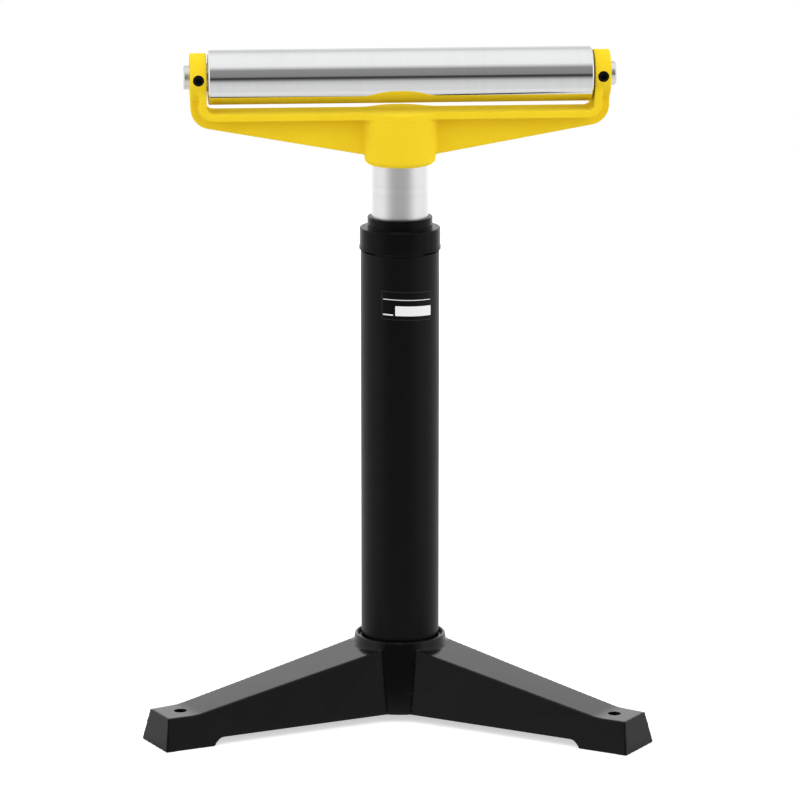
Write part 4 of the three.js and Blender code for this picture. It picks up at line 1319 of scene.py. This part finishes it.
@dataclass
class ClampLever:
    """The clamp at the back of the collar: threaded screw, lever and ball knob."""

    place: Place
    screw_radius: float = 6 * MM
    pitch: float = 1.75 * MM
    thread_depth: float = 0.95 * MM
    boss_radius: float = 11.5 * MM
    boss_start: float = 42 * MM
    boss_end: float = 61 * MM
    arm_length: float = 68 * MM
    arm_start: float = 6.9 * MM
    arm_foot: float = 9 * MM
    arm_root: float = 6 * MM
    arm_tip: float = 4.5 * MM
    tilt: float = math.radians(10)
    knob_radius: float = 13 * MM
    knob_flat: float = 5 * MM
    knob_depth: float = 15 * MM
    flat_edge: float = 4.0  # degrees of the ball between its flat and its bore
    bore_gap: float = 0.2 * MM
    grain: float = 0.8 * MM
    relaxing: int = 5
    kept: float = 0.6

    def _on_arm(self, form: Form, height: float) -> Form:
        """Turns a form that stands on Z into the arm's direction.

        Args:
            form: The form.
            height: Height of the clamp screw.

        Returns:
            The same form, in the frame of the column.
        """
        lean = Matrix.Rotation(math.pi + self.tilt, 4, "X")
        middle = (self.boss_start + self.boss_end) / 2
        return form.moved(Matrix.Translation((0, middle, height)) @ lean)

    def build(self) -> None:
        """Builds the screw, the lever with its fillet and the knob."""
        low, high = self.place.span("lock_screw")
        height = (low.z + high.z) / 2
        screw = Form.threaded("clamp_screw", self.screw_radius, self.pitch, self.thread_depth, high.y - low.y)
        self.screw = screw.along_y().lifted(y=low.y, z=height).moved(self.place.matrix)
        boss = Form.rod("clamp_lever", self.boss_radius, self.boss_start, self.boss_end, ROUND)
        tip = self.boss_radius + self.arm_length
        foot = self.boss_radius + self.arm_root / 2
        side = [(0, 0), (self.arm_foot, self.arm_start), (self.arm_root, foot), (self.arm_tip, tip), (0, tip)]
        arm = self._on_arm(Form.turned("arm", side, SMALL_ROUND), height)
        lever = boss.along_y().lifted(z=height).joined(arm).fused(self.grain, self.relaxing, self.kept)
        bore = Form.rod("bore", self.screw_radius + self.bore_gap, 0, self.boss_end + CUT)
        self.lever = lever.cut(bore.along_y().lifted(z=height)).moved(self.place.matrix)
        self.knob = self._on_arm(self._knob(tip), height).moved(self.place.matrix)

    def _knob(self, tip: float) -> Form:
        """The ball knob, with a flat round its blind bore.

        Args:
            tip: Length of the arm from the middle of the boss.

        Returns:
            The knob, standing on Z along the arm.
        """
        flat = math.sqrt(self.knob_radius**2 - self.knob_flat**2)
        middle = tip - self.knob_depth + flat
        opening = math.degrees(math.asin(self.knob_flat / self.knob_radius))
        ball = arc((0, middle), self.knob_radius, opening + self.flat_edge - 90, 90, 4 * ARC_STEPS)
        bore = [(0, tip), (self.arm_root, tip), (self.arm_root, middle - flat)]
        return Form.turned("ball_knob", [*bore, *ball[:-1], (0, middle + self.knob_radius)])

    def dress(self, palette: Palette) -> None:
        """Shows the screw in black oxide, the lever in cast paint and the knob in plastic."""
        palette.show(self.screw, Coat.BLACK_OXIDE, "lock_screw")
        palette.show(self.lever, Coat.CAST_BLACK, "lock_lever")
        palette.show(self.knob, Coat.KNOB_PLASTIC, "lever_knob")


@dataclass(frozen=True)
class SocketScrew:
    """A grub screw with a hexagon socket."""

    radius: float
    length: float
    hexagon: float
    depth: float
    edge: float = 0.5 * MM
    tip_share: float = 0.6

    def build(self, name: str) -> Form:
        """Builds the screw along Z.

        Args:
            name: Name of the piece.

        Returns:
            The screw, its tip on the XY plane and its socket in the far end.
        """
        tip = self.radius * self.tip_share
        profile = [(0, 0), (tip, 0), (self.radius, self.radius - tip), (self.radius, self.length - self.edge)]
        profile += [(self.radius - self.edge, self.length), (0, self.length)]
        foot = self.length - self.depth
        socket = Form.extruded("socket", hexagon(self.hexagon / 2), foot, self.length + CUT)
        return Form.turned(name, profile, SMALL_ROUND).cut(socket)


@dataclass
class Post:
    """The bright sliding post, with the groove of its retainer."""

    place: Place
    wall: float = 3 * MM
    edge: float = 0.6 * MM
    groove: float = 1 * MM
    groove_gap: float = 0.2 * MM
    pin_hole: float = 3.2 * MM

    def build(self) -> None:
        """Turns the post and bores the cross hole of its plug."""
        low, high = self.place.span("inner_post")
        clip_low, clip_high = self.place.span("bush_retainer")
        inside = high.x - self.wall
        neck = high.x - self.groove
        start = clip_low.z - self.groove_gap
        end = clip_high.z + self.groove_gap
        post = Form.turned("sliding_post", rounded([
            (inside, low.z, self.edge), (high.x, low.z, self.edge),
            (high.x, start, 0), (neck, start, 0), (neck, end, 0), (high.x, end, 0),
            (high.x, high.z, self.edge), (inside, high.z, self.edge),
        ], RIM_STEPS))
        hole = Form.rod("pin_hole", self.pin_hole, -2 * high.x, 2 * high.x).along_x()
        post.cut(hole.lifted(z=self.place.middle("plug_pin").z))
        self.post = post.moved(self.place.matrix)

    def dress(self, palette: Palette) -> None:
        """Shows the post in satin steel."""
        palette.show(self.post, Coat.POST_STEEL, "inner_post")


@dataclass
class Yoke:
    """The yellow cast yoke: U-shaped flange, set-back web, hub and two eared bosses."""

    place: Place
    axle_height: float
    ear_inside: float
    ear_thickness: float = 15.2 * MM
    ear_radius: float = 22.4 * MM
    flange_thickness: float = 6.8 * MM
    flange_depth: float = 40 * MM
    flange_fillet: float = 6 * MM
    flange_blend: float = 24 * MM
    web_thickness: float = 16 * MM
    web_inset: float = 0.3 * MM
    web_depth_at_hub: float = 41.2 * MM
    web_depth_at_ear: float = 12.4 * MM
    web_corner: float = 19 * MM
    web_fillet: float = 4 * MM
    hub_top: float = 35 * MM
    hub_bottom: float = 32.8 * MM
    hub_height: float = 50.8 * MM
    hub_edge: float = 5.5 * MM
    socket_roof: float = 8 * MM
    axle_bore: float = 11.2 * MM
    axle_screw_hole: float = 5.2 * MM
    yoke_screw_hole: float = 4.2 * MM
    yoke_screw_rise: float = 14 * MM
    yoke_screw_angle: float = math.radians(30)
    yoke_screw: SocketScrew = SocketScrew(radius=4 * MM, length=9 * MM, hexagon=4.6 * MM, depth=4 * MM)
    bore_gap: float = 0.2 * MM
    grain: float = 0.95 * MM
    relaxing: int = 4
    kept: float = 0.6

    @property
    def ear_outside(self) -> float:
        """Distance of the outer face of an ear from the middle."""
        return self.ear_inside + self.ear_thickness

    @property
    def ear_middle(self) -> float:
        """Distance of the middle of an ear from the middle of the yoke."""
        return self.ear_inside + self.ear_thickness / 2

    def _plan(self, reach: float, half: float, radius: float, fillet: float) -> list[Point]:
        """Draws a bar along X with a round hub in its middle, blended by fillets.

        Args:
            reach: Half the length of the bar.
            half: Half its width.
            radius: Radius of the hub.
            fillet: Radius of the blends.

        Returns:
            The closed outline.
        """
        across = half + fillet
        along = math.sqrt((radius + fillet) ** 2 - across**2)
        lean = math.degrees(math.atan2(across, along))
        right = [(reach, -half), (reach, half)]
        right += arc((along, across), fillet, 270, 180 + lean)
        top = arc((0, 0), radius, lean, 180 - lean, 6 * ARC_STEPS)
        left = arc((-along, across), fillet, -lean, -90) + [(-reach, half), (-reach, -half)]
        left += arc((-along, -across), fillet, 90, lean)
        bottom = arc((0, 0), radius, 180 + lean, 360 - lean, 6 * ARC_STEPS)
        return right + top + left + bottom + arc((along, -across), fillet, 180 - lean, 90)

    def _web(self, top: float) -> Form:
        """The web under the flange, set back from its edges and flared into the hub.

        Args:
            top: Height of the top of the flange.

        Returns:
            The web.
        """
        end = self.ear_outside - self.web_inset
        foot = top - self.web_depth_at_hub
        ear_foot = top - self.web_depth_at_ear
        half = self.flange_thickness / 2
        inner = self.ear_inside + half
        side = rounded([
            (-end, self.axle_height, 0), (-end, ear_foot, self.web_corner),
            (-self.hub_bottom, foot, 0), (self.hub_bottom, foot, 0),
            (end, ear_foot, self.web_corner), (end, self.axle_height, 0),
            (inner, self.axle_height, 0), (inner, top - half, 0),
            (-inner, top - half, 0), (-inner, self.axle_height, 0),
        ])
        plan = self._plan(end + CUT, self.web_thickness / 2, self.hub_bottom, self.web_fillet)
        web = Form.extruded("web", plan, foot, self.axle_height)
        return web.within(Form.drafted("web_side", side, lambda x, z: self.hub_top))

    def _flange(self, top: float) -> Form:
        """The U-shaped strip that runs under the roller and up both ears.

        Args:
            top: Height of its upper face.

        Returns:
            The strip.
        """
        out = self.ear_inside + self.flange_thickness
        foot = top - self.flange_thickness
        outer = self.flange_fillet + self.flange_thickness
        side = rounded([
            (-out, self.axle_height, 0), (-out, foot, outer), (out, foot, outer), (out, self.axle_height, 0),
            (self.ear_inside, self.axle_height, 0), (self.ear_inside, top, self.flange_fillet),
            (-self.ear_inside, top, self.flange_fillet), (-self.ear_inside, self.axle_height, 0),
        ])
        return Form.drafted("flange", side, lambda x, z: self.flange_depth / 2)

    def build(self) -> None:
        """Casts the yoke in one skin, then bores the axle, the post socket and the screw holes."""
        foot = self.place.span("roller_yoke")[0].z
        top = foot + self.hub_height
        hub = Form.turned("yoke_casting", rounded([
            (0, foot, 0), (self.hub_bottom, foot, self.hub_edge), (self.hub_top, top, 0), (0, top, 0),
        ]))
        half = self.flange_depth / 2 - self.bore_gap
        plan = self._plan(self.ear_inside / 2, half, self.hub_top, self.flange_blend)
        saddle = Form.extruded("saddle", plan, top - self.flange_thickness, top)
        ears = []
        for side in Side:
            ends = sorted((side.value * self.ear_inside, side.value * self.ear_outside))
            ears.append(Form.rod("ear", self.ear_radius, *ends, ROUND).along_x().lifted(z=self.axle_height))
        casting = hub.joined(saddle, self._web(top), self._flange(top), *ears)
        casting.fused(self.grain, self.relaxing, self.kept)
        end = self.ear_outside + CUT
        casting.cut(Form.rod("axle_bore", self.axle_bore, -end, end).along_x().lifted(z=self.axle_height))
        post = self.place.span("inner_post")[1].x + self.bore_gap
        casting.cut(Form.rod("post_socket", post, foot - CUT, top - self.socket_roof))
        for side in Side:
            hole = Form.rod("axle_screw_hole", self.axle_screw_hole, -self.ear_radius - CUT, 0).along_y()
            casting.cut(hole.lifted(x=side.value * self.ear_middle, z=self.axle_height))
            hole = Form.rod("yoke_screw_hole", self.yoke_screw_hole, post, 2 * self.hub_top).along_x()
            casting.cut(hole.spun(self._screw_heading(side)).lifted(z=foot + self.yoke_screw_rise))
        self.casting = casting.moved(self.place.matrix)
        self.screws = [self._screw(side, foot) for side in Side]

    def _screw_heading(self, side: Side) -> float:
        """The direction of the hub's screw on one side."""
        return math.pi / 2 - side.value * self.yoke_screw_angle

    def _screw(self, side: Side, foot: float) -> Form:
        """The hub's grub screw on one side.

        Args:
            side: Which side.
            foot: Height of the foot of the hub.

        Returns:
            The screw in its hole.
        """
        screw = self.yoke_screw.build(f"hub_screw_{side.label}")
        start = self.place.span("inner_post")[1].x + 2 * self.bore_gap
        screw.along_x().lifted(x=start).spun(self._screw_heading(side))
        return screw.lifted(z=foot + self.yoke_screw_rise).moved(self.place.matrix)

    def dress(self, palette: Palette) -> None:
        """Shows the casting in yellow enamel and its screws in black oxide."""
        palette.show(self.casting, Coat.YELLOW, "roller_yoke")
        for side, screw in zip(Side, self.screws):
            palette.show(screw, Coat.BLACK_OXIDE, f"yoke_set_screw_{side.label}")


@dataclass
class RollerSet:
    """The chromed roller on its axle, with what shows of its bearings and its grub screws."""

    place: Place
    axle_height: float
    bore: float = 21 * MM
    bearing_seat: float = 22.2 * MM
    bearing_inset: float = 5 * MM
    bearing_width: float = 12 * MM
    groove: float = 1 * MM
    groove_width: float = 2 * MM
    roller_edge: float = 1.2 * MM
    edge_round: float = 0.5 * MM
    axle_chamfer: float = 1.2 * MM
    axle_edge: float = 0.5 * MM
    flat_depth: float = 0.8 * MM
    flat_width: float = 12 * MM
    screw_radius: float = 5 * MM
    screw_hexagon: float = 5.8 * MM
    screw_depth: float = 5 * MM
    ring_edge: float = 0.2 * MM
    clip_opening: float = 9 * MM
    race_land: float = 2.9 * MM
    ball_gap: float = 0.35 * MM

    def build(self) -> None:
        """Builds the roller, the axle, the grub screws and the rings that show in the gaps."""
        self.roller = self._placed(self._roller())
        self.axle = self._placed(self._axle())
        self.screws = {side: self._screw(side) for side in Side}
        self.rings = {}
        for side in Side:
            for part in ("bearing_front_shield", "axle_spacer", "circlip"):
                node = f"{part}_{side.label}"
                self.rings[node] = self._placed(self._ring(node, part == "circlip"))
            self.rings[f"bearing_outer_{side.label}"] = self._placed(self._race(side))

    def _reaches(self, node: str) -> tuple[float, float]:
        """The least and the greatest distance of a node from the roller's axis."""
        points = [self.place.matrix.inverted() @ vertex.co for vertex in frame["nodes"][node].data.vertices]
        reaches = [math.hypot(point.y, point.z - self.axle_height) for point in points]
        return min(reaches), max(reaches)

    def _placed(self, form: Form) -> Form:
        """Puts a form that lies along X through the origin onto the roller's axis."""
        return form.lifted(z=self.axle_height).moved(self.place.matrix)

    def _roller(self) -> Form:
        """The roller tube, counterbored at both ends."""
        end = self.place.span("roller_tube")[1].x
        radius = self.place.span("roller_tube")[1].z - self.axle_height
        face = end - self.bearing_inset
        back = face - self.bearing_width
        deep = self.bearing_seat + self.groove
        half = [
            (self.bore, back, 0), (self.bearing_seat, back, 0),
            (self.bearing_seat, face, 0), (deep, face, 0), (deep, face + self.groove_width, 0),
            (self.bearing_seat, face + self.groove_width, 0), (self.bearing_seat, end, self.edge_round),
            (radius - self.roller_edge, end, self.edge_round),
            (radius, end - self.roller_edge, self.edge_round),
        ]
        mirrored = [(across, -along, edge) for across, along, edge in half]
        return Form.turned("roller_shell", rounded(mirrored + half[::-1], RIM_STEPS), 2 * ROUND).along_x()

    def _axle(self) -> Form:
        """The axle, chamfered at both ends, with a flat under each grub screw."""
        low, high = self.place.span("axle")
        radius = high.z - self.axle_height
        edge, chamfer = self.axle_edge, self.axle_chamfer
        inner = radius - chamfer
        axle = Form.turned("axle_bar", rounded([
            (0, low.x, 0), (inner, low.x, edge), (radius, low.x + chamfer, edge),
            (radius, high.x - chamfer, edge), (inner, high.x, edge), (0, high.x, 0),
        ], RIM_STEPS)).along_x()
        half = self.flat_width / 2
        for side in Side:
            middle = self._screw_reach(side)
            near = (middle - half, -2 * radius, -radius)
            far = (middle + half, self.flat_depth - radius, radius)
            axle.cut(Form.slab("flat", near, far))
        return axle

    def _screw_reach(self, side: Side) -> float:
        """Where the grub screw of one side stands along the axle."""
        return self.place.middle(f"axle_set_screw_{side.label}").x

    def _screw(self, side: Side) -> Form:
        """The grub screw in the front of an ear.

        Args:
            side: Which ear.

        Returns:
            The screw in its place.
        """
        low, high = self.place.span(f"axle_set_screw_{side.label}")
        shape = SocketScrew(self.screw_radius, high.y - low.y, self.screw_hexagon, self.screw_depth)
        screw = shape.build(f"axle_screw_{side.label}").moved(Matrix.Rotation(math.pi / 2, 4, "X"))
        return self._placed(screw.lifted(x=self._screw_reach(side), y=high.y))

    def _ring(self, node: str, opened: bool) -> Form:
        """A plain ring of the bearing, in the place of its node.

        Args:
            node: The node that it stands for.
            opened: Whether the ring has an opening at its foot.

        Returns:
            The ring along X.
        """
        low, high = self.place.span(node)
        inside, outside = self._reaches(node)
        ring = Form.ring(f"{node}_ring", inside, outside, low.x, high.x, self.ring_edge).along_x()
        if opened:
            half = self.clip_opening / 2
            near = (low.x - CUT, -half, -2 * outside)
            ring.cut(Form.slab("opening", near, (high.x + CUT, half, 0)))
        return ring

    def _race(self, side: Side) -> Form:
        """The outer ring of a bearing, with a round groove that the balls run in.

        Args:
            side: Which end of the roller.

        Returns:
            The ring along X.
        """
        node = f"bearing_outer_{side.label}"
        low, high = self.place.span(node)
        near, far = self._reaches(f"bearing_ball_{side.label}_1")
        pitch = (near + far) / 2
        outside = self._reaches(node)[1]
        land = outside - self.race_land
        groove = (far - near) / 2 + self.ball_gap
        turn = math.degrees(math.acos((land - pitch) / groove))
        hollow = arc((pitch, (low.x + high.x) / 2), groove, turn, -turn)
        profile = [(outside, low.x, self.ring_edge), (outside, high.x, self.ring_edge)]
        profile += [(land, high.x, self.ring_edge), *((*point, 0) for point in hollow)]
        profile.append((land, low.x, self.ring_edge))
        return Form.turned(f"{node}_race", rounded(profile, EDGE_STEPS)).along_x()

    def dress(self, palette: Palette) -> None:
        """Shows the roller in chrome and the rest in steel."""
        palette.show(self.roller, Coat.CHROME, "roller_tube")
        palette.show(self.axle, Coat.BRIGHT_STEEL, "axle")
        for side, screw in self.screws.items():
            palette.show(screw, Coat.BLACK_OXIDE, f"axle_set_screw_{side.label}")
        for node, ring in self.rings.items():
            coat = Coat.BLACK_OXIDE if node.startswith("circlip") else Coat.BEARING_STEEL
            palette.show(ring, coat, node)


@dataclass
class Studio:
    """A pale floor in white surroundings, dark in front, with two side lamps and a back panel."""

    target: tuple[float, float, float]
    distance: float = 4.25
    elevation: float = math.radians(12.8)
    azimuth: float = math.radians(1.3)
    lens: float = 203.46
    sensor: float = 36.0
    shift_up: float = 0.0006
    floor_half: float = 3.0
    floor_front: float = 0.42
    floor_drop: float = 0.0002
    floor_grey: float = 0.74
    floor_glow: float = 0.56
    white: Colour = (1.0, 1.0, 1.0, 1)
    front_bands: tuple[tuple[float, float], ...] = (
        (-90, 0.74), (-33, 0.70), (-20, 0.61), (-15, 0.54), (-7, 0.21), (-2, 0.06), (1, 0.02),
        (5, 0.11), (9, 0.24), (35, 0.28), (52, 0.90), (80, 0.94),
    )
    back_bands: tuple[tuple[float, float], ...] = (
        (-90, 0.80), (0, 1.0), (24, 1.0), (36, 0.71), (46, 0.75), (62, 0.90), (80, 0.94),
    )
    front_edge: tuple[float, float] = (0.45, 0.85)
    least_flat: float = 0.01
    fill_strength: float = 1.16
    fill_spread: float = math.radians(70)
    fill_direction: tuple[float, float, float] = (0.74, 0.52, -0.42)
    back_distance: float = 1.1
    back_height: float = 0.44
    back_width: float = 2.6
    back_depth: float = 0.5
    back_tone: float = 0.6

    def build(self) -> None:
        """Builds the camera, the floor, the surroundings and the lamps."""
        self._camera()
        self._floor()
        self._surroundings()
        self._fill()
        self._back()
        bpy.context.scene.view_settings.view_transform = "Standard"

    def _camera(self) -> None:
        """Puts the camera at the photograph's viewing angle."""
        lens = bpy.data.cameras.new("viewer")
        lens.lens = self.lens
        lens.sensor_width = self.sensor
        lens.shift_y = self.shift_up
        lens.clip_end = 100.0
        camera = bpy.data.objects.new("viewer", lens)
        bpy.context.scene.collection.objects.link(camera)
        flat = math.cos(self.elevation)
        back = Vector((
            math.sin(self.azimuth) * flat, -math.cos(self.azimuth) * flat, math.sin(self.elevation),
        ))
        camera.location = Vector(self.target) + back * self.distance
        camera.rotation_euler = (-back).to_track_quat("-Z", "Y").to_euler()
        bpy.context.scene.camera = camera

    def _floor(self) -> None:
        """Lays the pale floor, which keeps the shadow of the stand."""
        half = self.floor_half
        near = -self.floor_front
        corners = [(-half, near), (half, near), (half, half), (-half, half)]
        sheet = Form("floor", [Vector((x, y, -self.floor_drop)) for x, y in corners], [(0, 1, 2, 3)])
        material = bpy.data.materials.new("pale_floor")
        material.use_nodes = True
        graph = Graph(material.node_tree)
        tone = (self.floor_grey, self.floor_grey, self.floor_grey, 1)
        matt = graph.add("ShaderNodeBsdfDiffuse", {"Color": tone})
        seen = graph.add("ShaderNodeLightPath").outputs["Is Camera Ray"]
        glow = graph.math("MULTIPLY", seen, self.floor_glow)
        lit = graph.add("ShaderNodeEmission", {"Color": self.white, "Strength": glow})
        both = graph.add("ShaderNodeAddShader", {0: matt.outputs[0], 1: lit.outputs[0]})
        graph.add("ShaderNodeOutputMaterial", {"Surface": both.outputs[0]})
        sheet.thing.data.materials.append(material)

    def _surroundings(self) -> None:
        """Surrounds the stand with white, and with a dark band on the viewer's side."""
        world = bpy.data.worlds.new("studio")
        bpy.context.scene.world = world
        world.use_nodes = True
        graph = Graph(world.node_tree)
        look = graph.add("ShaderNodeTexCoord").outputs["Generated"]
        parts = graph.add("ShaderNodeSeparateXYZ", {0: look})
        height = graph.spread(parts.outputs["Z"], -1.0, 1.0)
        walls = [self._wall(graph, height, bands) for bands in (self.back_bands, self.front_bands)]
        flat = graph.math("SQRT", graph.math("SUBTRACT", 1.0, graph.math("POWER", parts.outputs["Z"], 2.0)))
        nearer = graph.math("MULTIPLY", parts.outputs["Y"], -1.0)
        facing = graph.math("DIVIDE", nearer, graph.math("MAXIMUM", flat, self.least_flat))
        front = graph.spread(facing, *self.front_edge)
        room = graph.add("ShaderNodeBackground", {"Color": graph.blend(front, *walls)})
        backdrop = graph.add("ShaderNodeBackground", {"Color": self.white})
        path = graph.add("ShaderNodeLightPath")
        seen = graph.math("MAXIMUM", path.outputs["Is Camera Ray"], path.outputs["Is Transmission Ray"])
        both = graph.add("ShaderNodeMixShader", {0: seen, 1: room.outputs[0], 2: backdrop.outputs[0]})
        graph.add("ShaderNodeOutputWorld", {"Surface": both.outputs[0]})

    @staticmethod
    def _wall(graph: Graph, height: bpy.types.NodeSocket, bands: Sequence[Point]) -> bpy.types.NodeSocket:
        """Shades one side of the surroundings from floor to ceiling.

        Args:
            graph: The nodes of the surroundings.
            height: The height of the direction, from 0 straight down to 1 straight up.
            bands: Elevations in degrees with the tone at each.

        Returns:
            The colour's socket.
        """
        ramp = graph.add("ShaderNodeValToRGB", {0: height})
        stops = ramp.color_ramp.elements
        while len(stops) < len(bands):
            stops.new(1.0)
        for stop, (elevation, tone) in zip(stops, bands):
            stop.position = (math.sin(math.radians(elevation)) + 1) / 2
            stop.color = (tone, tone, tone, 1)
        return ramp.outputs[0]

    def _fill(self) -> None:
        """Adds two broad soft lamps, at the left and the right of the viewer."""
        across, along, down = self.fill_direction
        for side in Side:
            light = bpy.data.lights.new(f"fill_{side.label}", "SUN")
            light.energy = self.fill_strength
            light.angle = self.fill_spread
            lamp = bpy.data.objects.new(f"fill_{side.label}", light)
            bpy.context.scene.collection.objects.link(lamp)
            heading = Vector((-side.value * across, along, down))
            lamp.rotation_euler = heading.to_track_quat("-Z", "Y").to_euler()
            lamp.visible_glossy = False

    def _back(self) -> None:
        """Stands a low, wide panel of soft light behind the stand."""
        light = bpy.data.lights.new("back_panel", "AREA")
        light.shape = "RECTANGLE"
        light.size = self.back_width
        light.size_y = self.back_depth
        light.energy = self.back_tone * math.pi * self.back_width * self.back_depth
        lamp = bpy.data.objects.new("back_panel", light)
        bpy.context.scene.collection.objects.link(lamp)
        lamp.location = (self.target[0], self.target[1] + self.back_distance, self.back_height)
        lamp.rotation_euler = Vector((0, -1, 0)).to_track_quat("-Z", "Z").to_euler()
        lamp.visible_camera = False


def head_place(column: Place) -> Place:
    """Finds the frame of the swivelled head.

    Args:
        column: The frame of the column.

    Returns:
        The same axis, turned with the roller.
    """
    axis = next(joint["axis"] for joint in frame["joints"] if joint["name"] == "roller_spin")
    return Place(column.x, column.y, math.atan2(axis[1], axis[0]))


def main() -> None:
    """Builds the stand and its studio."""
    logging.basicConfig(level=logging.INFO, format="%(name)s: %(message)s")
    low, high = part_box("outer_column")
    column = Place((low.x + high.x) / 2, (low.y + high.y) / 2)
    head = head_place(column)
    roller_low, roller_high = head.span("roller_tube")
    axle_height = (roller_low.z + roller_high.z) / 2
    ear_inside = head.span("axle_spacer_right")[1].x + EAR_GAP
    palette = Palette((math.cos(head.heading), math.sin(head.heading), 0.0))
    palette.coat_solids()
    assemblies = [
        Tripod(column, (high.x - low.x) / 2),
        Column(column),
        ClampLever(column),
        Post(head),
        Yoke(head, axle_height, ear_inside),
        RollerSet(head, axle_height),
    ]
    for assembly in assemblies:
        assembly.build()
        assembly.dress(palette)
    Studio(target=(column.x, column.y, VIEW_HEIGHT)).build()


if __name__ == "__main__":
    main()
